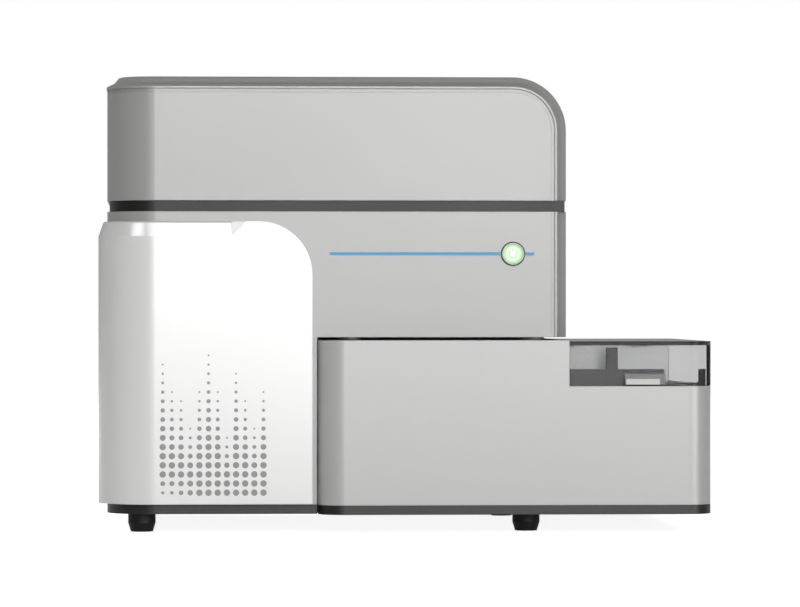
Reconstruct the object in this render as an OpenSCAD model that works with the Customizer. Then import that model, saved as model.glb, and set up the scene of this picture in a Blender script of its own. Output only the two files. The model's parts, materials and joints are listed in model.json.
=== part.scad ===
// Bench-top flow cytometer with a sample loader on its right.
// Every piece is drawn in place: +Z up, the front faces -Y, and the origin lies on
// the bench under the middle of the instrument.

/* [Overall] */
// Width from the door's outer side to the loader's far side
overall_w = 617; // [600:1:680]
// Depth from the loader's front to the rear hinge knuckles
overall_d = 450; // [430:1:520]

/* [Case] */
// Width of the main case
case_w = 463; // [440:1:490]
// Height of the housing below the seam
housing_h = 294.5; // [280:0.5:330]
// Height of the recessed seam between housing and hood
seam_h = 11; // [8:0.5:16]
// Height of the hood
hood_h = 125; // [115:0.5:160]
// Wall of the housing panels
case_t = 3; // [2:0.1:4]
// Wall of the hood cap
cap_t = 3.5; // [2.5:0.1:4.5]
// Wall of the hood fascia
fascia_t = 2.1; // [1.6:0.1:2.1]
// Radius of the upright front left corner
corner_r = 48; // [36:1:60]
// Radius of the upper right corner
hood_r = 54; // [40:1:65]
// How far the seam band lies behind the case face
seam_recess = 2.3; // [1.5:0.1:2.8]

/* [Rim] */
// Height of the bevelled band of the rim
rim_band = 9.8; // [7:0.1:11]
// Depth of the bevelled band of the rim
rim_run = 13; // [11:0.1:15]
// Width of the flat ridge of the rim
rim_ridge = 2.5; // [1.5:0.1:3.5]
// Width of the groove beside the ridge
rim_groove_w = 3.8; // [2:0.1:4.5]
// Depth of the groove beside the ridge
rim_groove_d = 3; // [3:0.1:4]
// How far the ridge stands in front of the faces
rim_proud = 0.8; // [0.4:0.1:0.8]

/* [Door] */
// How far the door stands in front of the case
door_proud = 9; // [8:0.5:12]
// Wall of the door panel
door_t = 3; // [2:0.1:3.5]
// Height of the door
door_h = 284; // [250:1:286]
// Radius of the door's upper right corner
door_r = 54; // [30:1:70]
// Width of the door's front on a tower 211 wide, growing with the tower
door_w = 206; // [190:1:209]
// How far the door wraps back along the left side
door_wrap = 123; // [90:1:160]
// Height of the bevel along the door's top
door_bevel_h = 15; // [8:0.5:20]
// Depth of the bevel along the door's top
door_bevel_d = 4.5; // [3:0.1:5]
// Radius of the door's hinge knuckles
door_knuckle_r = 3.5; // [3:0.1:3.6]
// Radius of the door's hinge pins
door_pin_r = 1.5; // [1.2:0.1:2]

/* [Loader] */
// Width of the loader
loader_w = 396; // [380:1:410]
// Height of the loader above the plinth
loader_h = 165; // [150:1:180]
// How far the loader stands in front of the case
loader_proud = 27; // [20:1:40]
// Radius of the loader's upright front corners
loader_r = 25; // [12:1:32]
// Wall of the loader panels
loader_t = 3; // [2:0.1:4]
// Height of the opaque wall below the clear cover
well_h = 119; // [105:1:125]
// Wall of the clear cover
cover_t = 3; // [2:0.1:4]
// Depth of the cowl behind the clear cover
cowl_d = 66.5; // [50:0.5:90]
// Radius of the cover's hinge pins
cover_pin_r = 2; // [1.5:0.1:2.5]
// Sideways travel of the carriage
carriage_travel = 150; // [80:1:160]
// Downward travel of the sample probe
probe_travel = 34; // [20:1:36]

/* [Foot and plinth] */
// Height of the rubber feet
foot_h = 19; // [12:0.5:25]
// Radius of the rubber feet
foot_r = 13.9; // [10:0.1:18]
// Height of the dark plinth
plinth_h = 9.5; // [6:0.5:14]

/* [Power button] */
// Radius of the button's metal bezel
bezel_r = 12.2; // [11.5:0.1:14]
// Radius of the button's cap
cap_r = 9.7; // [8:0.1:9.8]
// Travel of the button
button_travel = 1.8; // [1:0.1:3]

/* [Optics] */
// Thickness of the optical deck
deck_t = 10; // [8:0.5:14]
// Pitch of the deck's threaded holes
deck_pitch = 50; // [40:5:60]
// Height of the laser axis above the deck
beam_h = 36; // [30:1:45]
// Number of fluorescence detectors
detectors = 4; // [2:1:4]

/* [Fluidics] */
// Radius of the pump's roller track
pump_r = 30; // [26:0.5:34]
// Radius of the pump's rollers
roller_r = 6; // [4:0.5:7]
// Number of pump rollers
rollers = 3; // [2:1:4]
// Radius of the fluid lines
line_r = 2.4; // [1.5:0.1:3]
// Radius of the sheath filter
filter_r = 19; // [14:0.5:24]

/* [Sample rack] */
// Pitch of the tube places
tube_pitch = 22; // [18:0.5:24]
// Rows of tubes from front to back
tube_rows = 6; // [3:1:6]
// Columns of tubes across
tube_cols = 4; // [2:1:4]
// Outer radius of a tube
tube_r = 5.4; // [4:0.1:6]
// Height of a tube
tube_h = 40; // [30:1:42]

/* [Hidden] */
$fn = 64;
eps = 0.01;
far = 900;                          // reach of a cut that passes right through

// Running clearances
fit_gap = 0.05;                     // a pin in its bore
slide_gap = 0.3;                    // a slide on its guide
panel_gap = 0.5;                    // a lid or door beside its frame

// Main planes
base_z = foot_h;
case_z0 = base_z + plinth_h;
housing_z1 = case_z0 + housing_h;
hood_z0 = housing_z1 + seam_h;
top_z = hood_z0 + hood_h;
hinge_stand = 10;                   // depth of the rear hinges behind the case
case_x0 = -overall_w/2 + door_proud;
case_x1 = case_x0 + case_w;
case_y0 = -overall_d/2 + loader_proud;
case_y1 = overall_d/2 - hinge_stand;
rear_t = 3;                         // rear panels
panel_y1 = case_y1 - rear_t;        // where side panels meet the rear panel
lip_y = case_y0 - rim_proud;
lip_x = case_x0 - rim_proud;
corner_x = case_x0 + corner_r;
corner_y = case_y0 + corner_r;

// Rim section, measured down from the outer surface and back from the ridge
rim_ledge = [rim_run - 4.8, rim_band - 4.1];   // where the ledge behind the ridge meets the bevel
ridge_b = rim_band + rim_ridge;
fascia_b = ridge_b + rim_groove_w;
flange_b = fascia_b + 6;            // lap of the cap's flange behind the fascia
flange_t = 2.5;
rim_back = rim_run + 2.5;

// Loader
loader_x1 = overall_w/2;
loader_x0 = loader_x1 - loader_w;
loader_y0 = -overall_d/2;
module_gap = 1;                     // between the case's tower and the loader
tower_x1 = loader_x0 - module_gap;
loader_z1 = case_z0 + loader_h;
deck_gap = 3;                       // between the loader's top and the case floor
floor_z = loader_z1 + deck_gap;
well_z = case_z0 + well_h;
step_x = case_x1;
cover_x0 = step_x + 0.4;
cowl_y = case_y1 - cowl_d;
cowl_z1 = loader_z1 - 4.5;
cover_z0 = well_z + 0.4;
cover_z1 = loader_z1 - 1;
cover_barrel_r = 4;
cover_hinge = [cowl_y - cover_barrel_r - 0.6, cover_z1 - cover_barrel_r - 1];
cover_hinge_x = [cover_x0 + 30, loader_x1 - 34];
lug_w = 10;
fork_t = 3;

// Door
door_z0 = case_z0 + panel_gap;
door_z1 = door_z0 + door_h;
door_x1 = tower_x1 - (211 - door_w);
door_gap = 0.6;
door_hinge = [case_x0 - (door_proud + door_gap)/2 + 0.2, case_y0 + door_wrap];
door_hinge_z = [door_z0 + 45, door_z1 - 75];
knuckle_w = 14;
doorway_x1 = tower_x1 - 16;
doorway_z0 = case_z0 + 20;
doorway_z1 = door_z1 - 13;

// Hood hinge
hood_hinge = [overall_d/2 - 4.5, housing_z1 + seam_h/2];
hood_knuckle_r = 4.5;
hood_pin_r = 2;
hood_hinge_x = [case_x0 + 95, case_x1 - 95];
leaf_t = 2;

// Rubber feet
foot_x = [case_x0 + 35, case_x1 - 38.3];
foot_y = [case_y0 + 40, case_y1 - 50];

// Power button
button_x = case_x1 - 54.7;
button_z = housing_z1 - 42.5;
barrel_r = cap_r + 0.9;
button_bore = 14.5;                 // depth of the button's bore behind the case face

// Fluidics bay behind the door
bulkhead_y = case_y0 + 100;
bulkhead_t = 3;
base_t = 3;
bay_z0 = case_z0 + base_t;
bay_x0 = case_x0 + case_t + 0.3;
bay_x1 = tower_x1 - case_t;
bay_w = bay_x1 - bay_x0;
bay_h = housing_z1 - 23 - bay_z0;
filter_clip = 3;                    // wall of the clip round the filter
filter_h = 66;
filter_at = [bay_x1 - filter_r - filter_clip - 18/204.7*bay_w, bay_z0 + 92];
pump_at = [bay_x0 + 88.7/204.7*bay_w, bay_z0 + 172/268.5*bay_h];
pump_d = 34;
pump_motor_r = 24;
supply_x0 = bay_x0 + 72.7/204.7*bay_w;
line_y = bulkhead_y - 24;
pump_half = pump_r + 12;            // half the side of the pump's block
line_dx = pump_r - line_r - 0.4;    // where the line runs round the track
valve_pitch = 34/204.7*bay_w;
valve_bar = 14;                     // height of a manifold bar, and its reach past the last valve
valve_x = [for (i = [0:2]) filter_at[0] - filter_r - filter_clip - 4 - valve_bar - (2 - i)*valve_pitch];
valve_rise = 36;                    // upper bar over the valves' axis
valve_z = pump_at[1] - pump_half - 8 - valve_bar - valve_rise;

// Optical deck
deck_z1 = hood_z0 - 24;
deck_z0 = deck_z1 - deck_t;
deck_x0 = case_x0 + 18;
deck_x1 = case_x1 - 24;
deck_y0 = case_y0 + 22;
deck_y1 = case_y1 - 24;
beam_z = deck_z1 + beam_h;
cell_at = [case_x0 + 250, case_y0 + 190];
pillar_r = 9;
pillar_y = [bulkhead_y + 40, deck_y1 - 30];
pillar_left = [pump_at[0] - pump_motor_r - 1 - pillar_r, supply_x0 - 9 - pillar_r];

// Rear panel fittings
fan_at = [bay_x1 - 63, case_z0 + 130];
fan_size = 80;
fan_t = 25;
inlet_at = [bay_x0 + 41.7/204.7*bay_w, case_z0 + 32];
switch_at = [bay_x0 + 84.7/204.7*bay_w, case_z0 + 32];
ports_at = [bay_x0 + 136.7/204.7*bay_w, case_z0 + 32];
fluid_at = [case_x0 + 48, housing_z1 - 59.5];
rocker_tilt = 8;

// Loader drive
rail_y = [loader_y0 + 70, loader_y0 + 250];
rail_z1 = case_z0 + 30;
rail_x0 = loader_x0 + 20;
rail_x1 = loader_x1 - 14;
carriage_w = 124;
carriage_x0 = loader_x1 - loader_t - 10 - carriage_w;
carriage_y0 = loader_y0 + 40;
carriage_y1 = loader_y0 + 285;
plate_z = rail_z1 + 2;
plate_t = 5;
runner_h = 14;
rack_z0 = plate_z + plate_t;
rack_h = 34;
rack_x0 = carriage_x0 + 12;
rack_w = (tube_cols - 1)*tube_pitch + 34;
rack_y0 = carriage_y0 + 12;
rack_d = (tube_rows - 1)*tube_pitch + 24;
tube_z0 = rack_z0 + 3;
pulley_r = 10;
pulley_h = 9;
belt_t = 1.5;
belt_z = case_z0 + 12;
belt_y = (rail_y[0] + rail_y[1])/2;
pulley_x = [loader_x0 + 45, loader_x1 - 32];
pulley_shaft_r = 3;
tube_x0 = rack_x0 + 17;
tube_y0 = rack_y0 + 12;
probe_x = tube_x0 - carriage_travel + tube_pitch;
probe_y = tube_y0 + tube_pitch;
mast_y = carriage_y1 + 25;
arm_z = tube_z0 + tube_h + probe_travel + 31;
probe_r = 0.9;
liner_x0 = cover_x0 + 1;
liner_x1 = loader_x1 - loader_t - 2;
liner_y0 = loader_y0 + 12;
liner_y1 = cowl_y - 1;
liner_z0 = well_z - 34;
liner_z1 = well_z + 17;
liner_t = 2.5;
liner_r = loader_r - (liner_y0 - loader_y0);
cover_w = loader_x1 - cover_x0;
notch_x1 = liner_x1 - 7;
notch_x0 = notch_x1 - 36/144.6*cover_w;
notch_z = well_z + 3.5;
latch_w = 34/144.6*cover_w;
latch_x0 = notch_x0 - latch_w - 6;
latch_travel = 3;
latch_z0 = cover_z0 + 1.2;
latch_h = 5.8;
post_at = [loader_x1 - 68, cowl_y - 38.5];
post_w = 11.4;
post_z1 = loader_z1 - 10.5;

// ---- Helpers ------------------------------------------------------------------------

// Box between two corners
module box(lo, hi) { translate(lo) cube(hi - lo); }

// Extrudes a plan shape between two heights
module at_z(z0, z1) { translate([0, 0, z0]) linear_extrude(z1 - z0) children(); }

// Extrudes a front-view shape (x, z) between two depths
module at_y(y0, y1) { translate([0, y1, 0]) rotate([90, 0, 0]) linear_extrude(y1 - y0) children(); }

// Extrudes a side-view shape (y, z) between two widths
module at_x(x0, x1) { translate([x0, 0, 0]) rotate([90, 0, 90]) linear_extrude(x1 - x0) children(); }

// Cylinders along the three axes
module rod_x(p, r, l) { translate(p) rotate([0, 90, 0]) cylinder(r = r, h = l); }
module rod_y(p, r, l) { translate(p) rotate([-90, 0, 0]) cylinder(r = r, h = l); }
module rod_z(p, r, l) { translate(p) cylinder(r = r, h = l); }

// Rectangle with rounded corners
module rounded(lo, hi, r) {
    translate([lo[0] + r, lo[1]]) square([hi[0] - lo[0] - 2*r, hi[1] - lo[1]]);
    translate([lo[0], lo[1] + r]) square([hi[0] - lo[0], hi[1] - lo[1] - 2*r]);
    for (x = [lo[0] + r, hi[0] - r], y = [lo[1] + r, hi[1] - r]) translate([x, y]) circle(r);
}

// Plan of the case: rounded at the front left, running on to the right and the rear
module wrap_outline(grow = 0) {
    translate([corner_x, corner_y]) circle(corner_r + grow);
    translate([case_x0 - grow, corner_y]) square([far, far]);
    translate([corner_x, case_y0 - grow]) square([far, corner_r + grow + far]);
}

// Front view of the hood: rounded at the upper right, running on to the left and down
module hood_outline(inset = 0) {
    r = hood_r - inset;
    cx = case_x1 - hood_r;
    cz = top_z - hood_r;
    translate([cx, cz]) circle(r);
    translate([cx - far, cz - far]) square([far, far + r]);
    translate([cx - far, cz - far]) square([far + r, far]);
}

// Wall of one thickness that follows the case's front and left side
module wrap_wall(outer, inner) {
    difference() {
        wrap_outline(outer);
        wrap_outline(inner);
    }
}

// What the rim loses in section: x runs back from the ridge, y up from the outer surface
module rim_cut(deep = 0) {
    clear = 6;
    polygon([[-clear, clear], [-clear, -rim_band - 0.5], [0, -rim_band - 0.5], [0.7, 0.2 - rim_band],
             [rim_ledge[0], -rim_ledge[1]], [rim_run - 1.4, -1.5], [rim_run, -0.4],
             [rim_run + 1.6, 0], [rim_run + 1.6, clear]]);
    if (deep > ridge_b)
        translate([-clear, -deep]) square([clear + rim_groove_d, deep - ridge_b]);
}

// Sweeps a rim section along the top left, the front corner, the top and the right edge
module rim_sweep() {
    translate([lip_x, far/2, top_z]) rotate([90, 0, 0]) linear_extrude(far/2 - corner_y) children();
    translate([corner_x, corner_y, top_z]) rotate([0, 0, 180]) rotate_extrude(angle = 90)
        translate([corner_r + rim_proud, 0]) mirror([1, 0]) children();
    translate([corner_x, lip_y, top_z]) rotate([90, 0, 90])
        linear_extrude(case_x1 - hood_r - corner_x) children();
    translate([case_x1 - hood_r, lip_y, top_z - hood_r]) rotate([-90, 0, 0]) rotate([0, 0, -90])
        rotate_extrude(angle = 90) translate([hood_r, 0]) mirror([1, -1]) children();
    right_rim(hood_z0 - 1, top_z - hood_r) children();
}

// Sweeps a rim section along the right edge of the front
module right_rim(z0, z1) {
    translate([case_x1, lip_y, z0]) linear_extrude(z1 - z0) mirror([1, -1]) children();
}

// Leaves and knuckles of a hinge along X; the leaf hangs below or stands above the axis
module hinge_along_x(x, y, z, r, bore, leaf_y, leaf_z0, leaf_z1, spans) {
    for (s = spans) {
        difference() {
            union() {
                rod_x([x + s[0], y, z], r, s[1] - s[0]);
                box([x + s[0], leaf_y, min(z, leaf_z0)], [x + s[1], leaf_y + leaf_t, max(z, leaf_z1)]);
                box([x + s[0], leaf_y, z - 1], [x + s[1], y, z + 1]);
            }
            rod_x([x + s[0] - 1, y, z], bore, s[1] - s[0] + 2);
        }
    }
    box([x - 30, leaf_y, leaf_z0], [x + 30, leaf_y + leaf_t, leaf_z1]);
}

// ---- Base and plinth ----------------------------------------------------------------

module body_plinth() {
    color("#3f3f40")
    at_z(base_z, case_z0) intersection() {
        wrap_outline(0);
        translate([case_x0 - 1, case_y0 - 1]) square([tower_x1 - case_x0 + 1, case_y1 - case_y0 + 1]);
    }
}

// Plan of the loader with its two rounded front corners
module loader_outline(inset = 0) {
    r = loader_r - inset;
    for (x = [loader_x0 + loader_r, loader_x1 - loader_r])
        translate([x, loader_y0 + loader_r]) circle(r);
    translate([loader_x0 + loader_r, loader_y0 + inset])
        square([loader_w - 2*loader_r, loader_r]);
    translate([loader_x0 + inset, loader_y0 + loader_r])
        square([loader_w - 2*inset, case_y1 - inset - loader_y0 - loader_r]);
}

module loader_plinth() {
    color("#3f3f40") at_z(base_z, case_z0) loader_outline(0);
}

module rubber_feet() {
    tread_r = foot_r*0.8;
    straight_z = foot_h*0.47;
    color("#141414")
    for (x = foot_x, y = foot_y)
        translate([x, y, 0]) rotate_extrude() difference() {
            polygon([[0, 0], [tread_r, 0], [foot_r, straight_z], [foot_r, foot_h], [0, foot_h]]);
            translate([0, -eps]) square([4, 3]);
            translate([tread_r*0.62, -eps]) square([1.5, 1.2]);
        }
}

// One folded sheet: floor of the tower, its inner side and the floor over the loader
module folded_chassis() {
    y0 = case_y0 + case_t + slide_gap;
    color("#b9bcbf") {
        at_z(case_z0, bay_z0) intersection() {
            wrap_outline(-case_t - slide_gap);
            translate([case_x0, case_y0]) square([tower_x1 - case_x0, panel_y1 - case_y0]);
        }
        box([bay_x1, y0, bay_z0 - eps], [tower_x1, panel_y1, floor_z + eps]);
        at_z(floor_z, floor_z + base_t) difference() {
            translate([bay_x1, y0]) square([case_x1 - cap_t - slide_gap - bay_x1, panel_y1 - y0]);
            translate([case_x1 - flange_b - slide_gap, y0 - 1])
                square([far, lip_y + rim_back + slide_gap - y0 + 1]);
        }
    }
}

// ---- Housing ------------------------------------------------------------------------

module housing_left_wrap() {
    color("#c9c9c8")
    at_z(case_z0, housing_z1) intersection() {
        wrap_wall(0, -case_t);
        translate([case_x0 - 1, case_y0 - 1]) square([corner_r + 1, panel_y1 - case_y0 + 1]);
    }
}

module housing_fascia() {
    color("#cfcfce")
    difference() {
        box([corner_x, case_y0, case_z0], [case_x1 - fascia_b, case_y0 + case_t, housing_z1]);
        box([tower_x1, case_y0 - 1, case_z0 - 1], [far, case_y0 + case_t + 1, floor_z]);
        // doorway, rounded like the door
        intersection() {
            box([corner_x - 1, case_y0 - 1, doorway_z0], [doorway_x1, case_y0 + case_t + 1, housing_z1]);
            at_y(case_y0 - 2, case_y0 + case_t + 2) door_outline(door_z1 - doorway_z1);
        }
        // lap over the side panel's flange
        box([case_x1 - flange_b - slide_gap, lip_y + rim_groove_d - 0.05, floor_z - 1],
            [case_x1, case_y0 + case_t + 1, housing_z1 + 1]);
        rod_y([button_x, case_y0 - 1, button_z], barrel_r + 0.2, case_t + 2);
    }
}

// Flat side wall whose front edge is turned in as the rim
module right_side_panel() {
    color("#c9c9c8")
    difference() {
        box([case_x1 - flange_b, lip_y, floor_z], [case_x1, panel_y1, housing_z1]);
        box([-far, lip_y + rim_back, floor_z - 1], [case_x1 - cap_t, far, housing_z1 + 1]);
        box([-far, lip_y + rim_groove_d + flange_t, floor_z - 1],
            [case_x1 - fascia_b, far, housing_z1 + 1]);
        right_rim(floor_z - 1, housing_z1 + 1) rim_cut(flange_b + 1);
    }
}

module rear_panel() {
    slots = 9;
    color("#c4c4c3")
    difference() {
        at_y(panel_y1, case_y1) difference() {
            translate([case_x0, case_z0]) square([case_w, housing_z1 - case_z0]);
            translate([tower_x1, case_z0 - 1]) square([far, floor_z - case_z0 + 1]);
        }
        // slots over the fan
        for (i = [0:slots - 1]) {
            dx = (i - (slots - 1)/2)*8;
            half = sqrt(36*36 - dx*dx);
            box([fan_at[0] + dx - 2, panel_y1 - 1, fan_at[1] - half],
                [fan_at[0] + dx + 2, case_y1 + 1, fan_at[1] + half]);
        }
        // louvres over the electronics
        for (x = [tower_x1 + 70, tower_x1 + 140], i = [0:5])
            box([x - 25, panel_y1 - 1, floor_z + 34 + i*10], [x + 25, case_y1 + 1, floor_z + 38 + i*10]);
        box([inlet_at[0] - 13.8, panel_y1 - 1, inlet_at[1] - 9.8],
            [inlet_at[0] + 13.8, case_y1 + 1, inlet_at[1] + 9.8]);
        box([switch_at[0] - 6.4, panel_y1 - 1, switch_at[1] - 9.4],
            [switch_at[0] + 6.4, case_y1 + 1, switch_at[1] + 9.4]);
        box([ports_at[0] - 24.3, panel_y1 - 1, ports_at[1] - 8.3],
            [ports_at[0] + 24.3, case_y1 + 1, ports_at[1] + 8.3]);
        for (i = [0:3]) rod_y([fluid_at[0] + i*24, panel_y1 - 1, fluid_at[1]], 5.1, rear_t + 2);
    }
}

// Dark band in the seam, with a tongue inside the housing
module seam_band() {
    x1 = case_x1 - seam_recess;
    y1 = panel_y1 - slide_gap;
    band_t = 6;
    tongue = 10;
    color("#1c1c1d") {
        at_z(housing_z1, hood_z0) difference() {
            intersection() {
                wrap_outline(-seam_recess);
                translate([-far, -far]) square([far + x1, far + y1]);
            }
            intersection() {
                wrap_outline(-seam_recess - band_t);
                translate([-far, -far]) square([far + x1 - band_t, far + y1 - band_t]);
            }
        }
        at_z(housing_z1 - tongue, housing_z1 + eps) difference() {
            intersection() {
                wrap_outline(-case_t - slide_gap);
                translate([-far, -far]) square([far + case_x1 - flange_b - slide_gap, far + y1]);
            }
            wrap_outline(-seam_recess - band_t);
        }
    }
}

// ---- Hood ---------------------------------------------------------------------------

// Whole outer form of the hood, up to the depth y1
module hood_form(y1) {
    intersection() {
        at_z(hood_z0, top_z) wrap_outline(rim_proud);
        at_y(lip_y - 1, y1) hood_outline(0);
    }
}

// Hollow under the cap: wide behind the rim, narrow behind the flange
module hood_hollow() {
    intersection() {
        at_z(hood_z0 - 1, top_z - cap_t) wrap_outline(rim_proud - rim_back);
        at_y(lip_y + rim_back, far) hood_outline(cap_t);
    }
    back = rim_groove_d + flange_t;
    intersection() {
        at_z(hood_z0 - 1, top_z - fascia_b) wrap_outline(rim_proud - back);
        at_y(lip_y + back, far) hood_outline(fascia_b);
    }
}

// Top and right side in one moulding, edged by the bevelled rim
module hood_cap() {
    color("#cdcdcc")
    difference() {
        hood_form(panel_y1);
        at_y(-far, far) hood_outline(flange_b);
        hood_hollow();
        rim_sweep() rim_cut(flange_b + 1);
    }
}

// Front and left side of the hood, with a flange that rests on the seam band
module hood_fascia() {
    foot_w = 9;
    color("#cfcfce")
    intersection() {
        union() {
            at_z(hood_z0, top_z) wrap_wall(0, -fascia_t);
            at_z(hood_z0, hood_z0 + 3) wrap_wall(0, -foot_w);
        }
        at_y(-far/2, panel_y1) hood_outline(fascia_b);
        // the foot stays clear of the cap's flange at the right
        at_z(hood_z0 - 1, top_z) union() {
            translate([-far, -far]) square([far + case_x1 - flange_b - slide_gap, 2*far]);
            translate([-far, -far]) square([far + case_x1, far + case_y0 + fascia_t]);
        }
    }
}

module hood_rear_panel() {
    color("#c4c4c3")
    difference() {
        intersection() {
            at_z(hood_z0, top_z) wrap_outline(0);
            at_y(panel_y1, case_y1) hood_outline(0);
        }
        rim_sweep() rim_cut();
        for (x = [case_x0 + 130, case_x0 + 230, case_x0 + 330], i = [0:5])
            box([x - 32, panel_y1 - 1, hood_z0 + 52 + i*9], [x + 32, case_y1 + 1, hood_z0 + 56 + i*9]);
    }
}

knuckles = [[-30, -10.2], [10.2, 30]];

module hood_hinge_fixed_leaves() {
    color("#5d6064")
    for (x = hood_hinge_x)
        hinge_along_x(x, hood_hinge[0], hood_hinge[1], hood_knuckle_r, hood_pin_r + fit_gap,
                      case_y1, housing_z1 - 30, housing_z1 - 1, knuckles);
}

module hood_hinge_moving_leaves() {
    color("#5d6064")
    for (x = hood_hinge_x)
        hinge_along_x(x, hood_hinge[0], hood_hinge[1], hood_knuckle_r, hood_pin_r + fit_gap,
                      case_y1, hood_z0 + 1, hood_z0 + 30, [[-10, 10]]);
}

module hood_hinge_pins() {
    color("#9a9da1")
    for (x = hood_hinge_x) rod_x([x - 29.5, hood_hinge[0], hood_hinge[1]], hood_pin_r, 59);
}

// ---- Door ---------------------------------------------------------------------------

// Front view of the door's edge, inset from its free sides
module door_outline(inset) {
    r = door_r - inset;
    x1 = door_x1 - inset;
    translate([door_x1 - door_r, door_z1 - door_r]) circle(r);
    translate([-far, door_z0 + inset]) square([far + door_x1 - door_r, door_h - 2*inset]);
    translate([-far, door_z0 + inset]) square([far + x1, door_h - door_r - inset]);
}

// Wedge that bevels the door's top: x back from the face, y up from the top
module door_bevel_cut(back = 0) {
    polygon([[-8, 3], [-8, -door_bevel_h], [back, -door_bevel_h], [back + door_bevel_d, -1.5],
             [back + door_bevel_d + 1.5, 0], [back + door_bevel_d + 1.5, 3]]);
}

// The bevel runs along the left side, round the corner and along the front to the arc
module door_bevel(back = 0) {
    run_out = 15;
    x1 = door_x1 - door_r - 27;
    translate([case_x0 - door_proud, far/2, door_z1]) rotate([90, 0, 0])
        linear_extrude(far/2 - corner_y) door_bevel_cut(back);
    translate([corner_x, corner_y, door_z1]) rotate([0, 0, 180]) rotate_extrude(angle = 90)
        translate([corner_r + door_proud, 0]) mirror([1, 0]) door_bevel_cut(back);
    translate([corner_x, case_y0 - door_proud, door_z1]) rotate([90, 0, 90])
        linear_extrude(x1 - corner_x) door_bevel_cut(back);
    translate([x1, case_y0 - door_proud, door_z1]) hull() {
        rotate([90, 0, 90]) linear_extrude(eps) door_bevel_cut(back);
        rotate([90, 0, 90]) linear_extrude(run_out)
            polygon([[-8, 3], [-8, 0], [back, 0], [back, 3]]);
    }
}

// White shell that wraps round the front left corner
module door_panel() {
    back_y = door_hinge[1] - 4.5;
    color("#f6f6f5")
    difference() {
        union() {
            intersection() {
                at_z(door_z0, door_z1) wrap_outline(door_proud);
                at_y(-far/2, back_y) door_outline(0);
            }
            for (z = door_hinge_z) {
                rod_z([door_hinge[0], door_hinge[1], z], door_knuckle_r, knuckle_w);
                box([door_hinge[0] - door_knuckle_r, back_y - 5, z],
                    [door_hinge[0] + door_knuckle_r - 1, door_hinge[1], z + knuckle_w]);
            }
        }
        at_z(door_z0 - 1, door_z1 + 1) wrap_outline(door_gap);
        difference() {
            intersection() {
                at_z(door_z0, door_z1) wrap_outline(door_proud - door_t);
                at_y(-far/2, back_y - 6) door_outline(door_t);
            }
            door_bevel(door_t);
        }
        for (z = door_hinge_z)
            rod_z([door_hinge[0], door_hinge[1], z - 1], door_pin_r + fit_gap, knuckle_w + 2);
        door_bevel();
    }
}

module door_hinge_brackets() {
    leaf_y1 = door_hinge[1] + 26;
    color("#8d9094")
    for (z = door_hinge_z) {
        difference() {
            union() {
                for (k = [z - knuckle_w - 0.3, z + knuckle_w + 0.3]) {
                    rod_z([door_hinge[0], door_hinge[1], k], door_knuckle_r, knuckle_w);
                    box([door_hinge[0], door_hinge[1], k], [case_x0, leaf_y1, k + knuckle_w]);
                }
                box([case_x0 - 2, door_hinge[1] + 5, z - knuckle_w], [case_x0, leaf_y1, z + 2*knuckle_w]);
            }
            rod_z([door_hinge[0], door_hinge[1], z - 2*knuckle_w], door_pin_r + fit_gap, 5*knuckle_w);
            box([case_x0 - 20, door_hinge[1] + door_knuckle_r + 1.5, z - 2*knuckle_w],
                [case_x0 - 2, far, z + 3*knuckle_w]);
        }
    }
}

module door_hinge_pins() {
    color("#9a9da1")
    for (z = door_hinge_z)
        rod_z([door_hinge[0], door_hinge[1], z - knuckle_w], door_pin_r, 3*knuckle_w);
}

// ---- Power button -------------------------------------------------------------------

module button_bezel() {
    bezel_d = 2.5;
    barrel_l = 24;
    color("#d5d7da")
    difference() {
        union() {
            translate([button_x, case_y0, button_z]) rotate([90, 0, 0]) rotate_extrude()
                polygon([[0, 0], [bezel_r, 0], [bezel_r, 1.2], [bezel_r - 1.3, bezel_d], [0, bezel_d]]);
            rod_y([button_x, case_y0 - eps, button_z], barrel_r, barrel_l);
            // nut behind the fascia
            translate([button_x, case_y0 + case_t, button_z]) rotate([-90, 0, 0])
                cylinder(r = barrel_r + 4, h = 4, $fn = 6);
        }
        rod_y([button_x, case_y0 - bezel_d - 1, button_z], cap_r + 0.2, 9);
        rod_y([button_x, case_y0 - bezel_d - 1, button_z], cap_r - 2, button_bore + bezel_d + 1);
    }
    for (dx = [-6, -2, 2, 6])
        box([button_x + dx - 0.4, case_y0 + barrel_l - 1, button_z - 1.4],
            [button_x + dx + 0.4, case_y0 + barrel_l + 7, button_z + 1.4]);
}

module power_button_cap() {
    stem_l = button_bore - button_travel - 0.7;
    color("#e9fbe6")
    translate([button_x, case_y0, button_z]) rotate([90, 0, 0]) {
        translate([0, 0, -2]) rotate_extrude()
            polygon([[0, 0], [cap_r, 0], [cap_r, 3.4], [cap_r - 0.8, 4.2], [0, 4.2]]);
        translate([0, 0, -stem_l]) cylinder(r = cap_r - 2.4, h = stem_l - 2 + eps);
    }
}

// ---- Optics -------------------------------------------------------------------------

// Machined deck with its grid of holes, on four pillars
module optical_deck() {
    hole_r = 2.5;
    nx = floor((deck_x1 - deck_x0 - 30)/deck_pitch);
    ny = floor((deck_y1 - deck_y0 - 30)/deck_pitch);
    color("#8b9096") {
        difference() {
            at_z(deck_z0, deck_z1) rounded([deck_x0, deck_y0], [deck_x1, deck_y1], 24);
            for (i = [0:nx], j = [0:ny])
                rod_z([deck_x0 + 16 + i*deck_pitch, deck_y0 + 16 + j*deck_pitch, deck_z0 - 1],
                      hole_r, deck_t + 2);
        }
        for (i = [0, 1]) {
            rod_z([pillar_left[i], pillar_y[i], bay_z0], pillar_r, deck_z0 - bay_z0 + eps);
            rod_z([deck_x1 - 40, pillar_y[i], floor_z + base_t], pillar_r,
                  deck_z0 - floor_z - base_t + eps);
        }
    }
}

laser_l = 120;
laser_w = 40;
laser_x = cell_at[0] - 205;
laser_y = [cell_at[1], cell_at[1] - 70];

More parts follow.
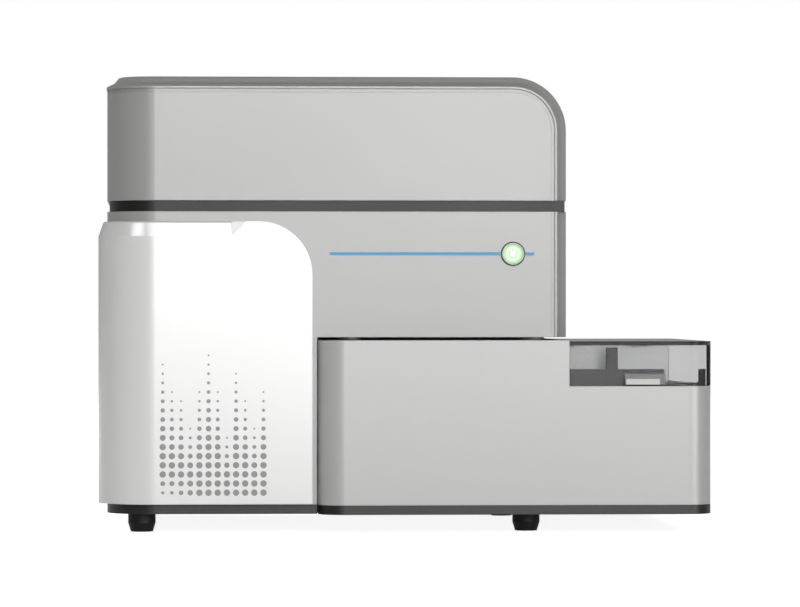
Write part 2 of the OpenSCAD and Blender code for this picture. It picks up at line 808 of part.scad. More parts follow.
// Two finned laser heads that fire towards +X
module laser_modules() {
    fins = 9;
    foot = 8;
    nose_r = 9;
    color("#2f3236")
    for (y = laser_y) {
        box([laser_x, y - laser_w/2, deck_z1], [laser_x + laser_l, y + laser_w/2, deck_z1 + foot]);
        box([laser_x + 8, y - laser_w/2 + 5, deck_z1 + foot - eps],
            [laser_x + laser_l - 8, y + laser_w/2 - 5, beam_z + 10]);
        for (i = [0:fins - 1])
            box([laser_x + 14 + i*11, y - laser_w/2 + 5, beam_z + 10 - eps],
                [laser_x + 18 + i*11, y + laser_w/2 - 5, beam_z + 24]);
        rod_x([laser_x + laser_l - 8 - eps, y, beam_z], nose_r, 12);
    }
}

// Kinematic mounts that steer the second beam onto the first
module mirror_mounts() {
    mount_x = cell_at[0] - 60;
    for (y = laser_y) {
        color("#1f2123") {
            rod_z([mount_x, y, deck_z1], 14, 6);
            rod_z([mount_x, y, deck_z1 + 6 - eps], 6, beam_h - 20);
            translate([mount_x, y, 0]) rotate([0, 0, 45]) difference() {
                box([-4, -14, beam_z - 15], [4, 14, beam_z + 15]);
                rod_x([-5, 0, beam_z], 10, 10);
            }
        }
        color("#cfd6dc")
        translate([mount_x, y, 0]) rotate([0, 0, 45]) rod_x([-2, 0, beam_z], 10 + eps, 3);
    }
}

// Block that holds the cuvette where beam and sample stream cross
module flow_cell_block() {
    x = cell_at[0];
    y = cell_at[1];
    color("#9fa4aa") {
        difference() {
            box([x - 22, y - 22, deck_z1], [x + 22, y + 22, beam_z + 30]);
            rod_x([x - 23, y, beam_z], 7, 46);
            rod_y([x, y - 23, beam_z], 9, 46);
            box([x - 5.1, y - 5.1, beam_z - 14.1], [x + 5.1, y + 5.1, beam_z + 14.1]);
        }
        rod_z([x, y, beam_z + 30 - eps], 5, 12);
    }
}

module flow_cell_cuvette() {
    x = cell_at[0];
    y = cell_at[1];
    color("#cfe4ee")
    difference() {
        box([x - 5, y - 5, beam_z - 14], [x + 5, y + 5, beam_z + 14]);
        rod_z([x, y, beam_z - 15], 0.8, 30);
    }
}

// Objective that gathers the side light towards the rear
module collection_lens() {
    x = cell_at[0];
    y0 = cell_at[1] + 22.1;
    color("#26282b") {
        translate([x, y0, beam_z]) rotate([-90, 0, 0]) rotate_extrude() difference() {
            polygon([[0, 0], [9, 0], [15, 9], [17, 9], [17, 30], [14, 34], [14, 46], [0, 46]]);
            square([6, 3]);
        }
        box([x - 12, y0 + 14, deck_z1], [x + 12, y0 + 28, beam_z - 12]);
    }
}

module scatter_detector() {
    x0 = cell_at[0] + 40;
    y = cell_at[1];
    color("#2f3236") {
        box([x0, y - 16, deck_z1], [x0 + 26, y + 16, beam_z + 18]);
        rod_x([x0 - 12, y, beam_z], 9, 12 + eps);
        rod_z([x0 + 13, y, beam_z + 18 - eps], 4, 8);
    }
}

block_y0 = cell_at[1] + 72;
block_w = 40;
block_x0 = cell_at[0] - 20;
block_x1 = block_x0 + detectors*38 - 2;

// Row of dichroic filter slides in one machined block
module filter_block() {
    color("#3a3d41")
    difference() {
        box([block_x0, block_y0, deck_z1], [block_x1, block_y0 + block_w, beam_z + 24]);
        rod_y([cell_at[0], block_y0 - 1, beam_z], 11, 10);
        for (i = [0:detectors - 1])
            box([block_x0 + 9 + i*38, block_y0 + 8, beam_z + 4], [block_x0 + 13 + i*38, block_y0 + 32, beam_z + 25]);
    }
    color("#c9ccd0")
    for (i = [0:detectors - 1])
        box([block_x0 + 9.3 + i*38, block_y0 + 8.3, beam_z + 4],
            [block_x0 + 12.7 + i*38, block_y0 + 31.7, beam_z + 32]);
}

module photomultipliers() {
    color("#191a1b")
    for (i = [0:detectors - 1]) {
        x = block_x0 + 18 + i*38;
        translate([x, block_y0 + block_w + 0.1, beam_z]) rotate([-90, 0, 0]) rotate_extrude()
            polygon([[0, 0], [16, 0], [16, 5], [14, 5], [14, 46], [12, 50], [0, 50]]);
    }
}

// ---- Fluidics bay -------------------------------------------------------------------

module fluidics_bulkhead() {
    color("#d3d5d7")
    difference() {
        box([bay_x0, bulkhead_y, bay_z0], [bay_x1, bulkhead_y + bulkhead_t, deck_z0 - 4]);
        rod_y([pump_at[0], bulkhead_y - 1, pump_at[1]], 6, bulkhead_t + 2);
        for (x = [bay_x0 + 20, bay_x1 - 22])
            rod_y([x, bulkhead_y - 1, bay_z0 + 24], 9, bulkhead_t + 2);
    }
}

// Peristaltic head: a block with a round roller track, and its motor behind the bulkhead
module pump_body() {
    wall = 6;
    y0 = bulkhead_y - pump_d;
    color("#e2e3e4")
    difference() {
        at_y(y0, bulkhead_y) translate(pump_at)
            rounded([-pump_half, -pump_half], [pump_half, pump_half], 10);
        rod_y([pump_at[0], y0 - 1, pump_at[1]], pump_r, pump_d - wall + 1);
        rod_y([pump_at[0], y0, pump_at[1]], 6, pump_d + 1);
        for (dx = [-line_dx, line_dx])
            box([pump_at[0] + dx - line_r - slide_gap, y0 - 1, pump_at[1]],
                [pump_at[0] + dx + line_r + slide_gap, line_y + line_r + slide_gap,
                 pump_at[1] + pump_half + 1]);
    }
    color("#55585c")
    difference() {
        rod_y([pump_at[0], bulkhead_y + bulkhead_t, pump_at[1]], pump_motor_r, 52);
        rod_y([pump_at[0], bulkhead_y, pump_at[1]], 4 + fit_gap, 24);
    }
}

// Disc with its rollers on short axles, and the shaft
module pump_rotor() {
    y0 = bulkhead_y - pump_d + 2;
    disc_r = pump_r - 7;
    roller_at = pump_r - 2*line_r - roller_r - 0.9;
    color("#2b2d30") {
        rod_y([pump_at[0], y0, pump_at[1]], disc_r, 3);
        rod_y([pump_at[0], y0 + 3 - eps, pump_at[1]], 8, 21);
        rod_y([pump_at[0], y0 + 20, pump_at[1]], 4, 34);
        for (i = [0:rollers - 1]) translate([pump_at[0], 0, pump_at[1]]) rotate([0, i*360/rollers, 0])
            rod_y([roller_at, y0 + 3 - eps, 0], 2, 20);
    }
    color("#f2f2f0")
    for (i = [0:rollers - 1]) translate([pump_at[0], 0, pump_at[1]]) rotate([0, i*360/rollers, 0])
        difference() {
            rod_y([roller_at, y0 + 3 + slide_gap, 0], roller_r, 19);
            rod_y([roller_at, y0, 0], 2 + fit_gap, 30);
        }
}

// Three solenoid valves between an upper and a lower manifold bar
module pinch_valves() {
    head = 11;
    bar_x0 = valve_x[0] - valve_bar;
    bar_x1 = valve_x[2] + valve_bar;
    for (x = valve_x) {
        color("#74787d") rod_y([x, bulkhead_y - 30, valve_z], 10, 30);
        color("#3b3e42")
        difference() {
            box([x - head, bulkhead_y - 44, valve_z - head], [x + head, bulkhead_y - 30 + eps, valve_z + head]);
            box([x - line_r - slide_gap, bulkhead_y - 45, valve_z - head - 1],
                [x + line_r + slide_gap, bulkhead_y - 35, valve_z + head + 1]);
        }
    }
    color("#dfe1e2")
    for (z = [valve_z - 32 - valve_bar, valve_z + valve_rise])
        box([bar_x0, bulkhead_y - 46, z], [bar_x1, bulkhead_y, z + valve_bar]);
}

// Capsule filter with hose tails, in its clip
module sheath_filter() {
    tail_r = 3.4;
    cap_h = 10;
    color("#eef1f3")
    translate([filter_at[0], line_y, filter_at[1] - filter_h/2]) rotate_extrude() {
        polygon([[0, -14], [tail_r - 0.8, -14], [tail_r, -9], [tail_r - 0.8, -9], [tail_r - 0.8, -3],
                 [filter_r*0.5, 0], [filter_r, cap_h], [filter_r, filter_h - cap_h],
                 [filter_r*0.5, filter_h], [tail_r - 0.8, filter_h + 3], [tail_r - 0.8, filter_h + 9],
                 [tail_r, filter_h + 9], [tail_r - 0.8, filter_h + 14], [0, filter_h + 14]]);
    }
    color("#6b6f73")
    difference() {
        union() {
            rod_z([filter_at[0], line_y, filter_at[1] - 7], filter_r + filter_clip, 14);
            box([filter_at[0] - 8, line_y, filter_at[1] - 7], [filter_at[0] + 8, bulkhead_y, filter_at[1] + 7]);
        }
        rod_z([filter_at[0], line_y, filter_at[1] - 8], filter_r + slide_gap, 16);
        box([filter_at[0] - 12, line_y - 40, filter_at[1] - 8], [filter_at[0] + 12, line_y, filter_at[1] + 8]);
    }
}

// Half loop of line between two upright ends, over the top or turned down
module line_loop(x0, x1, z, turn = 0) {
    r = abs(x1 - x0)/2;
    translate([(x0 + x1)/2, line_y, z]) rotate([90, -turn, 0])
        rotate_extrude(angle = 180, $fn = 48) translate([r, 0]) circle(line_r, $fn = 16);
}

module bay_tubing() {
    loop_z = pump_at[1] + pump_half + 6;
    left_x = pump_at[0] - pump_half - 14;
    floor_top = bay_z0 + 16;
    filter_top = filter_at[1] + filter_h/2 + 14;
    in_x = pump_at[0] + line_dx;
    out_x = pump_at[0] - line_dx;
    color("#e9ecec") {
        // pump to filter
        line_loop(in_x, filter_at[0], loop_z);
        rod_z([filter_at[0], line_y, filter_top], line_r, loop_z - filter_top);
        rod_z([in_x, line_y, pump_at[1]], line_r, loop_z - pump_at[1]);
        line_loop(out_x, in_x, pump_at[1], 180);
        // pump to the floor fitting
        line_loop(left_x, out_x, loop_z);
        rod_z([out_x, line_y, pump_at[1]], line_r, loop_z - pump_at[1]);
        rod_z([left_x, line_y, floor_top], line_r, loop_z - floor_top);
        rod_z([left_x, line_y, bay_z0], 6, floor_top - bay_z0 + eps);
        // through the valves, from bar to bar
        for (x = valve_x)
            rod_z([x, bulkhead_y - 40, valve_z - 32], line_r, 32 + valve_rise);
    }
}

// ---- Electronics and rear fittings ----------------------------------------------------

// Board on spacers beside the tower's inner wall
module main_board() {
    y0 = bulkhead_y + 40;
    y1 = case_y1 - 50;
    z0 = case_z0 + 82;
    z1 = deck_z0 - 20;
    board_x = bay_x1 - 6.6;
    color("#1f6b45") box([board_x, y0, z0], [board_x + 1.6, y1, z1]);
    color("#c9ccd0")
    for (y = [y0 + 8, y1 - 8], z = [z0 + 8, z1 - 8]) rod_x([board_x + 1.6, y, z], 3, 5);
    color("#232426") {
        for (i = [0:3])
            box([board_x - 3, y0 + 30 + i*44, z0 + 60], [board_x + eps, y0 + 54 + i*44, z0 + 84]);
        for (i = [0:5])
            rod_x([board_x - 12, y0 + 24 + i*14, z0 + 22], 5, 12 + eps);
        box([board_x - 9, y0 + 120, z0 + 10], [board_x + eps, y0 + 190, z0 + 22]);
    }
}

module power_supply() {
    x0 = supply_x0;
    x1 = bay_x1 - 14;
    y0 = bulkhead_y + 130;
    y1 = case_y1 - 48;
    h = 46;
    color("#a7abaf")
    difference() {
        box([x0, y0, bay_z0], [x1, y1, bay_z0 + h]);
        for (i = [0:floor((x1 - x0 - 28)/10)])
            box([x0 + 12 + i*10, y0 + 16, bay_z0 + h - 3], [x0 + 17 + i*10, y1 - 16, bay_z0 + h + 1]);
    }
}

module fan_frame() {
    y0 = panel_y1 - fan_t;
    bore_r = fan_size/2 - 2;
    half = fan_size/2;
    color("#202123")
    difference() {
        union() {
            difference() {
                at_y(y0, panel_y1) translate(fan_at) rounded([-half, -half], [half, half], 5);
                rod_y([fan_at[0], y0 - 1, fan_at[1]], bore_r, fan_t + 2);
            }
            rod_y([fan_at[0], panel_y1 - 3, fan_at[1]], 17, 3);
            for (a = [45:90:315]) translate([fan_at[0], 0, fan_at[1]]) rotate([0, a, 0])
                box([-2.5, panel_y1 - 3, 12], [2.5, panel_y1, bore_r + 2]);
            rod_y([fan_at[0], y0 + 6, fan_at[1]], 2, fan_t - 7);
        }
        for (dx = [-half + 5, half - 5], dz = [-half + 5, half - 5])
            rod_y([fan_at[0] + dx, y0 - 1, fan_at[1] + dz], 2.1, fan_t + 2);
    }
}

module fan_rotor() {
    blades = 7;
    y0 = panel_y1 - fan_t + 2;
    color("#2a2b2d")
    difference() {
        union() {
            rod_y([fan_at[0], y0, fan_at[1]], 16, 19);
            intersection() {
                rod_y([fan_at[0], y0, fan_at[1]], fan_size/2 - 4, 19);
                for (i = [0:blades - 1]) translate([fan_at[0], y0 + 9.5, fan_at[1]])
                    rotate([0, i*360/blades, 0]) translate([0, 0, 14])
                        rotate([0, 0, 38]) translate([-0.9, -13, 0]) cube([1.8, 26, 40]);
            }
        }
        rod_y([fan_at[0], y0 + 3, fan_at[1]], 2 + fit_gap, 30);
    }
}

// Mains inlet and the frame of the power switch
module power_inlet() {
    y1 = case_y1 + 2.5;
    color("#1a1b1c") {
        difference() {
            union() {
                box([inlet_at[0] - 13.5, case_y1 - 24, inlet_at[1] - 9.5],
                    [inlet_at[0] + 13.5, y1, inlet_at[1] + 9.5]);
                at_y(case_y1, y1) translate(inlet_at) rounded([-18, -13], [18, 13], 3);
            }
            box([inlet_at[0] - 11, case_y1 - 14, inlet_at[1] - 7.5],
                [inlet_at[0] + 11, y1 + 1, inlet_at[1] + 7.5]);
        }
        difference() {
            union() {
                box([switch_at[0] - 6.1, case_y1 - 14, switch_at[1] - 9.1],
                    [switch_at[0] + 6.1, y1 - 1, switch_at[1] + 9.1]);
                at_y(case_y1, y1 - 1) translate(switch_at) rounded([-8.5, -11.5], [8.5, 11.5], 2);
            }
            box([switch_at[0] - 5.2, case_y1 - 9, switch_at[1] - 8.3],
                [switch_at[0] + 5.2, y1 + 1, switch_at[1] + 8.3]);
        }
    }
    color("#b8bbbe")
    for (p = [[-7, -2], [0, 2], [7, -2]])
        box([inlet_at[0] + p[0] - 1, case_y1 - 14 - eps, inlet_at[1] + p[1] - 2],
            [inlet_at[0] + p[0] + 1, case_y1 - 3, inlet_at[1] + p[1] + 2]);
}

module rocker_switch() {
    color("#101112")
    at_x(switch_at[0] - 4.9, switch_at[0] + 4.9)
        translate([case_y1, switch_at[1]])
            polygon([[-6, -6.6], [2.4, -7.2], [1.6, 0], [2.4, 7.2], [-6, 6.6]]);
}

// Data sockets and four fluid fittings
module rear_ports() {
    color("#c3c6c9")
    difference() {
        box([ports_at[0] - 24, case_y1 - 18, ports_at[1] - 8], [ports_at[0] + 24, case_y1 + 1.5, ports_at[1] + 8]);
        for (dx = [-16, 0])
            box([ports_at[0] + dx - 5.5, case_y1 - 10, ports_at[1] - 5],
                [ports_at[0] + dx + 5.5, case_y1 + 2, ports_at[1] + 5]);
        box([ports_at[0] + 9, case_y1 - 12, ports_at[1] - 6], [ports_at[0] + 21, case_y1 + 2, ports_at[1] + 6]);
    }
    color("#e6e8e8")
    for (i = [0:3]) translate([fluid_at[0] + i*24, panel_y1 - 8, fluid_at[1]]) rotate([-90, 0, 0])
        rotate_extrude() difference() {
            polygon([[0, 0], [5, 0], [5, 11], [8, 11], [8, 14], [4, 14], [4, 16], [3.4, 16], [3.4, 17],
                     [2.6, 20.5], [0, 20.5]]);
            translate([0, -1]) square([1.4, 24]);
        }
}

// ---- Loader ----------------------------------------------------------------------------

module loader_shell() {
    ledge = loader_t + 12;
    color("#cfcfce") {
        difference() {
            at_z(case_z0, loader_z1) difference() {
                loader_outline(0);
                loader_outline(loader_t);
            }
            box([-far, panel_y1, 0], [far, far, far]);
            box([step_x, -far, well_z], [far, cowl_y, far]);
            box([step_x, cowl_y - 1, cowl_z1], [far, far, far]);
        }
        // ledge that carries the liner
        at_z(liner_z0 - 3, liner_z0) intersection() {
            difference() {
                loader_outline(loader_t - eps);
                loader_outline(ledge);
            }
            translate([cover_x0, loader_y0]) square([far, cowl_y - 1 - loader_y0]);
        }
    }
}

// Lid over the loader's left part, with spacers that carry the case floor
module loader_top_plate() {
    color("#cfcfce") {
        at_z(loader_z1 - loader_t, loader_z1) intersection() {
            loader_outline(loader_t + fit_gap);
            translate([-far, -far]) square([far + step_x, far + panel_y1]);
        }
        box([step_x - 3, loader_y0 + loader_t + fit_gap, loader_z1 - 18],
            [step_x, panel_y1, loader_z1 - loader_t + eps]);
    }
    color("#2c2d2f")
    for (x = [loader_x0 + 34, step_x - 30], y = [case_y0 + 50, panel_y1 - 40])
        rod_z([x, y, loader_z1], 11, deck_gap);
}

// Cowl behind the clear cover, in one piece with the loader's rear wall
module loader_cowl() {
    x1 = loader_x1 - loader_t - fit_gap;
    reach = lug_w/2 + 0.4;
    color("#cbcbca")
    difference() {
        union() {
            box([cover_x0, cowl_y, liner_z0], [x1, cowl_y + 3, cowl_z1]);
            box([cover_x0, cowl_y, cowl_z1 - 3], [x1, panel_y1 + eps, cowl_z1]);
            box([loader_x0, panel_y1, case_z0], [loader_x1, case_y1, cowl_z1]);
            box([loader_x0, panel_y1, cowl_z1 - eps], [step_x, case_y1, loader_z1]);
            for (x = cover_hinge_x, s = [x - reach - fork_t, x + reach]) {
                rod_x([s, cover_hinge[0], cover_hinge[1]], cover_barrel_r - 0.3, fork_t);
                box([s, cover_hinge[0], cover_hinge[1] - cover_barrel_r + 0.3],
                    [s + fork_t, cowl_y + eps, cover_hinge[1]]);
            }
        }
        for (x = cover_hinge_x)
            rod_x([x - 20, cover_hinge[0], cover_hinge[1]], cover_pin_r + fit_gap, 40);
    }
}

// Dark lining of the well; its front wall has a finger notch
module tray_liner() {
    low_z = well_z - 6;
    chamfer = 3;
    color("#333335")
    difference() {
        at_z(liner_z0, liner_z1) difference() {
            liner_outline(0);
            liner_outline(liner_t);
        }
        // the side and rear walls are lower than the front
        box([liner_x0 - 1, liner_y0 + liner_r, low_z], [far, far, far]);
        at_y(liner_y0 - 1, liner_y0 + liner_t + 1)
            polygon([[notch_x0, liner_z1 + 1], [notch_x0, notch_z + chamfer],
                     [notch_x0 + chamfer, notch_z], [notch_x1 - chamfer, notch_z],
                     [notch_x1, notch_z + chamfer], [notch_x1, liner_z1 + 1]]);
    }
}

// Plan of the well's lining, open towards the carriage's tunnel on the left
module liner_outline(inset = 0) {
    x1 = liner_x1 - liner_r;
    y0 = liner_y0 + liner_r;
    translate([x1, y0]) circle(liner_r - inset);
    translate([liner_x0 - inset, liner_y0 + inset]) square([x1 - liner_x0 + inset, liner_r]);
    translate([liner_x0 - inset, y0]) square([liner_x1 - liner_x0, liner_y1 - inset - y0]);
}

// Clear cover: front, right side and roof, with a hinge barrel along its rear edge
module loader_cover() {
    rear_y = cover_hinge[0] - cover_barrel_r + 1;
    slot = lug_w/2 + 0.1;
    color([0.3, 0.32, 0.34, 0.5])
    difference() {
        union() {
            difference() {
                at_z(cover_z0, cover_z1) intersection() {
                    loader_outline(0);
                    translate([cover_x0, -far]) square([far, far + rear_y]);
                }
                at_z(cover_z0 - 1, cover_z1 - cover_t) intersection() {
                    loader_outline(cover_t);
                    translate([cover_x0 - 1, -far]) square([far, 2*far]);
                }
            }
            rod_x([cover_x0 + 1, cover_hinge[0], cover_hinge[1]], cover_barrel_r,
                  loader_x1 - cover_x0 - 1);
            box([loader_x1 - cover_t, rear_y - eps, cover_z0],
                [loader_x1, cover_hinge[0] + cover_barrel_r, cover_hinge[1]]);
            box([cover_x0 + 1, rear_y - 2, cover_hinge[1] + 1],
                [loader_x1 - loader_t - 1, cover_hinge[0], cover_hinge[1] + cover_barrel_r]);
        }
        for (x = cover_hinge_x) {
            for (s = [x - slot - fork_t - 0.6, x + slot])
                box([s, cover_hinge[0] - cover_barrel_r - 1.5, cover_hinge[1] - cover_barrel_r - 1],
                    [s + fork_t + 0.6, cowl_y, cover_z1 - 0.5]);
            rod_x([x - 14, cover_hinge[0], cover_hinge[1]], cover_pin_r + fit_gap, 28);
        }
        box([latch_x0 - latch_travel - panel_gap, loader_y0 - 1, cover_z0 - 1],
            [latch_x0 + latch_w + panel_gap, loader_y0 + cover_t + 1, latch_z0 + latch_h + 0.4]);
    }
}

// Sliding latch in the cover's lower edge
module cover_latch() {
    tab_y0 = loader_y0 + 0.4;
    plate_y0 = loader_y0 + cover_t + slide_gap;
    color("#d8d8d6") {
        box([latch_x0, tab_y0, latch_z0], [latch_x0 + latch_w, plate_y0 + eps, latch_z0 + latch_h]);
        box([latch_x0 - 1, plate_y0, latch_z0], [latch_x0 + latch_w + 6, plate_y0 + 2, latch_z0 + latch_h + 5]);
    }
}

module cover_hinge_pins() {
    color("#9a9da1")
    for (x = cover_hinge_x) rod_x([x - 12, cover_hinge[0], cover_hinge[1]], cover_pin_r, 24);
}

// Two T-shaped rails, and the idler's fixed shaft
module carriage_rails() {
    head = 7;
    color("#9da1a6") {
        for (y = rail_y)
            at_x(rail_x0, rail_x1) translate([y, case_z0]) {
                translate([-12, 0]) square([24, 4]);
                translate([-3, 0]) square([6, rail_z1 - case_z0 - 1]);
                translate([-head, rail_z1 - case_z0 - 10]) square([2*head, 10]);
            }
        rod_z([pulley_x[1], belt_y, case_z0], 8, 8);
        rod_z([pulley_x[1], belt_y, case_z0 + 8 - eps], pulley_shaft_r, belt_z - case_z0 + 2);
    }
}

// Plate with runners hooked round the rail heads and a clamp on the belt
module tray_carriage() {
    run_z0 = plate_z - runner_h;
    clamp_x = carriage_x0 + carriage_w/2;
    run_y = belt_y - pulley_r - belt_t/2 - fit_gap;
    color("#b4b8bc") {
        box([carriage_x0, carriage_y0, plate_z], [carriage_x0 + carriage_w, carriage_y1, plate_z + plate_t]);
        for (y = rail_y, x = [carriage_x0 + 6, carriage_x0 + carriage_w - 36])
            at_x(x, x + 30) translate([y, 0]) difference() {
                translate([-12, run_z0]) square([24, runner_h + eps]);
                translate([-7.3, rail_z1 - 10 - slide_gap]) square([14.6, 10 + 2*slide_gap]);
                translate([-4, run_z0 - 1]) square([8, runner_h - 2]);
            }
        difference() {
            box([clamp_x - 9, run_y - 6, belt_z - 2.5], [clamp_x + 9, run_y + 6, plate_z + eps]);
            box([clamp_x - 10, run_y - belt_t/2 - slide_gap, belt_z - slide_gap],
                [clamp_x + 10, run_y + belt_t/2 + slide_gap, belt_z + 6 + slide_gap]);
        }
    }
}

module tube_rack() {
    color("#3d6fa5")
    difference() {
        at_z(rack_z0, rack_z0 + rack_h)
            rounded([rack_x0, rack_y0], [rack_x0 + rack_w, rack_y0 + rack_d], 5);
        for (i = [0:tube_cols - 1], j = [0:tube_rows - 1])
            rod_z([tube_x0 + i*tube_pitch, tube_y0 + j*tube_pitch, tube_z0], tube_r + slide_gap, rack_h);
    }
}

// Open tubes with conical ends
module sample_tubes() {
    wall = 1;
    cone_h = 14;
    color("#e8eef2")
    for (i = [0:tube_cols - 1], j = [0:tube_rows - 1])
        translate([tube_x0 + i*tube_pitch, tube_y0 + j*tube_pitch, tube_z0]) rotate_extrude()
            polygon([[0, 0], [2, 0], [tube_r, cone_h], [tube_r, tube_h - 2], [tube_r + 1, tube_h - 2],
                     [tube_r + 1, tube_h], [tube_r - wall, tube_h], [tube_r - wall, cone_h], [1.4, wall], [0, wall]]);
}

// Stadium outline round the two pulleys
module belt_loop(r) {
    for (x = pulley_x) translate([x, belt_y]) circle(r);
    translate([pulley_x[0], belt_y - r]) square([pulley_x[1] - pulley_x[0], 2*r]);
}

module drive_belt() {
    color("#17181a")
    at_z(belt_z, belt_z + 6) difference() {
        belt_loop(pulley_r + fit_gap + belt_t);
        belt_loop(pulley_r + fit_gap);
    }
}

module belt_pulley(x) {
    flange_r = pulley_r + 2.4;
    lip = 1;
    color("#b9bdc1")
    translate([x, belt_y, belt_z - lip - slide_gap]) rotate_extrude() polygon([
        [pulley_shaft_r + fit_gap, 0], [flange_r, 0], [flange_r, lip], [pulley_r, lip],
        [pulley_r, lip + 6 + 2*slide_gap], [flange_r, lip + 6 + 2*slide_gap],
        [flange_r, 2*lip + 6 + 2*slide_gap], [pulley_shaft_r + fit_gap, 2*lip + 6 + 2*slide_gap]]);
}

module drive_pulley() { belt_pulley(pulley_x[0]); }

module idler_pulley() { belt_pulley(pulley_x[1]); }

// Stepper motor held above the drive pulley by a bridge
module tray_motor() {
    z0 = belt_z + 12;
    half = 21;
    color("#2c2e31") {
        at_z(z0 + 4, z0 + 44) translate([pulley_x[0], belt_y]) rounded([-half, -half], [half, half], 4);
    }
    color("#a9adb2") {
        box([pulley_x[0] - half, belt_y - half - 8, z0], [pulley_x[0] + half, belt_y + half + 8, z0 + 4 + eps]);
        for (y = [belt_y - half - 8, belt_y + half + 4])
            box([pulley_x[0] - half, y, case_z0], [pulley_x[0] + half, y + 4, z0 + eps]);
        rod_z([pulley_x[0], belt_y, belt_z - 1], pulley_shaft_r, 13 + eps);
    }
}

mast_w = 16;
mast_d = 12;

module probe_mast() {
    color("#9da1a6") {
        box([probe_x - mast_w/2, mast_y - mast_d/2, case_z0],
            [probe_x + mast_w/2, mast_y + mast_d/2, loader_z1 - loader_t - 2]);
        box([probe_x - 20, mast_y - 16, case_z0], [probe_x + 20, mast_y + 16, case_z0 + 6]);
    }
}

// Collar on the mast, its arm and the hollow needle
module sample_probe() {
    needle_z0 = tube_z0 + tube_h + 3.5;
    wall = 5;
    color("#41454a")
    difference() {
        union() {
            box([probe_x - mast_w/2 - wall, mast_y - mast_d/2 - wall, arm_z - 14],
                [probe_x + mast_w/2 + wall, mast_y + mast_d/2 + wall, arm_z + 6]);
            box([probe_x - 6, probe_y - 6, arm_z], [probe_x + 6, mast_y - mast_d/2, arm_z + 6]);
        }
        box([probe_x - mast_w/2 - slide_gap, mast_y - mast_d/2 - slide_gap, arm_z - 20],
            [probe_x + mast_w/2 + slide_gap, mast_y + mast_d/2 + slide_gap, arm_z + 10]);
    }
    color("#c6cacf") rod_z([probe_x, probe_y, needle_z0], probe_r, arm_z - needle_z0 + eps);
}

// Post whose head senses that the clear cover is shut
module cover_sensor_post() {
    color("#2b2c2e") {
        box([post_at[0] - post_w/2, post_at[1] - 7, case_z0], [post_at[0] + post_w/2, post_at[1] + 7, post_z1]);
        box([post_at[0] - 14, post_at[1] - 14, case_z0], [post_at[0] + 14, post_at[1] + 14, case_z0 + 5]);
    }
}

// ---- Assembly --------------------------------------------------------------------------

body_plinth();
loader_plinth();
rubber_feet();
folded_chassis();
housing_left_wrap();
housing_fascia();
right_side_panel();
rear_panel();
seam_band();
hood_cap();
hood_fascia();
hood_rear_panel();
hood_hinge_fixed_leaves();
hood_hinge_moving_leaves();
hood_hinge_pins();
door_panel();
door_hinge_brackets();
door_hinge_pins();
button_bezel();
power_button_cap();
optical_deck();
laser_modules();
mirror_mounts();
flow_cell_block();
flow_cell_cuvette();
collection_lens();
scatter_detector();
filter_block();
photomultipliers();
fluidics_bulkhead();
pump_body();
pump_rotor();
pinch_valves();
sheath_filter();
bay_tubing();
main_board();
power_supply();
fan_frame();
fan_rotor();
power_inlet();
rocker_switch();
rear_ports();
loader_shell();
loader_top_plate();
loader_cowl();
tray_liner();
loader_cover();
cover_latch();
cover_hinge_pins();
carriage_rails();
tray_carriage();
tube_rack();
sample_tubes();
drive_belt();
drive_pulley();
idler_pulley();
tray_motor();
probe_mast();
sample_probe();
cover_sensor_post();
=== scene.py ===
import json
import math
import bpy
import bmesh
from mathutils import Matrix, Vector


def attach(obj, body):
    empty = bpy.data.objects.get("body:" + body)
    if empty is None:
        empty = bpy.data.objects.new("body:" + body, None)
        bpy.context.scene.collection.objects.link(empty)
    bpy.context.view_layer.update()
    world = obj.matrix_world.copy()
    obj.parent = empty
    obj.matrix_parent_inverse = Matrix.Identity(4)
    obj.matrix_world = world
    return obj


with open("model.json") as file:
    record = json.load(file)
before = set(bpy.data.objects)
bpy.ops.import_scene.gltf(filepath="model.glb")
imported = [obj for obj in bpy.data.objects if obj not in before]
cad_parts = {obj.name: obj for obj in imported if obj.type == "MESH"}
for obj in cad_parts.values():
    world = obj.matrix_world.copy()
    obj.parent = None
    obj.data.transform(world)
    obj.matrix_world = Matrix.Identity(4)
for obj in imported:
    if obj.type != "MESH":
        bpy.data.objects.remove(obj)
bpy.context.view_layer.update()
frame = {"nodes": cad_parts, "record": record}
nodes = frame["nodes"]
mm = 0.001
print("frame loaded:", len(nodes), "nodes")

# camera, sky and floor, in metres
studio = {
    "cameraAt": (-0.25285, -4.6982, 0.23045),
    "cameraTurn": 3.15,             # degrees to the right
    "lens": 201.6,
    "sensor": 36,
    "clip": (0.1, 60),
    "lampsAimAt": (0, 0, 0.25),
    "skyDiffuse": 0.17,
    "skyGlossy": 0.3,
    "floorHalf": 30,
    "floorColour": (0.82, 0.82, 0.81, 1),
    "floorLift": 0.9,
    "floorGloss": 0.3,
}
# "lights" is whether a box lights the piece, "mirrors" whether it shows in reflections
softBoxes = {
    "frontSoftBox": {"size": (2.5, 2.3), "at": (0.55, -5.4, 1.16), "watts": 123,
                     "lights": True, "mirrors": True},
    "rightSoftBox": {"size": (2.7, 1.3), "at": (3.1, -4.2, 0.5), "watts": 105,
                     "lights": False, "mirrors": True},
    "upperSoftBox": {"size": (2.8, 1.7), "at": (0.25, -4.3, 2.95), "watts": 82,
                     "lights": False, "mirrors": True},
    "leftSoftBox": {"size": (1.8, 1.6), "at": (-2.98, -3.42, 3.22), "watts": 46,
                    "lights": False, "mirrors": True},
    "rearLeftSoftBox": {"size": (2.2, 2.0), "at": (-3.75, 4.4, 3.2), "watts": 125,
                        "lights": True, "mirrors": False},
    "rearRightSoftBox": {"size": (2.2, 2.0), "at": (3.75, 4.4, 3.2), "watts": 125,
                         "lights": True, "mirrors": False},
}

# these names are settings of a shader node, and any other is one of its sockets
nodeSettings = ("operation", "blend_type", "data_type", "interpolation_type", "samples")
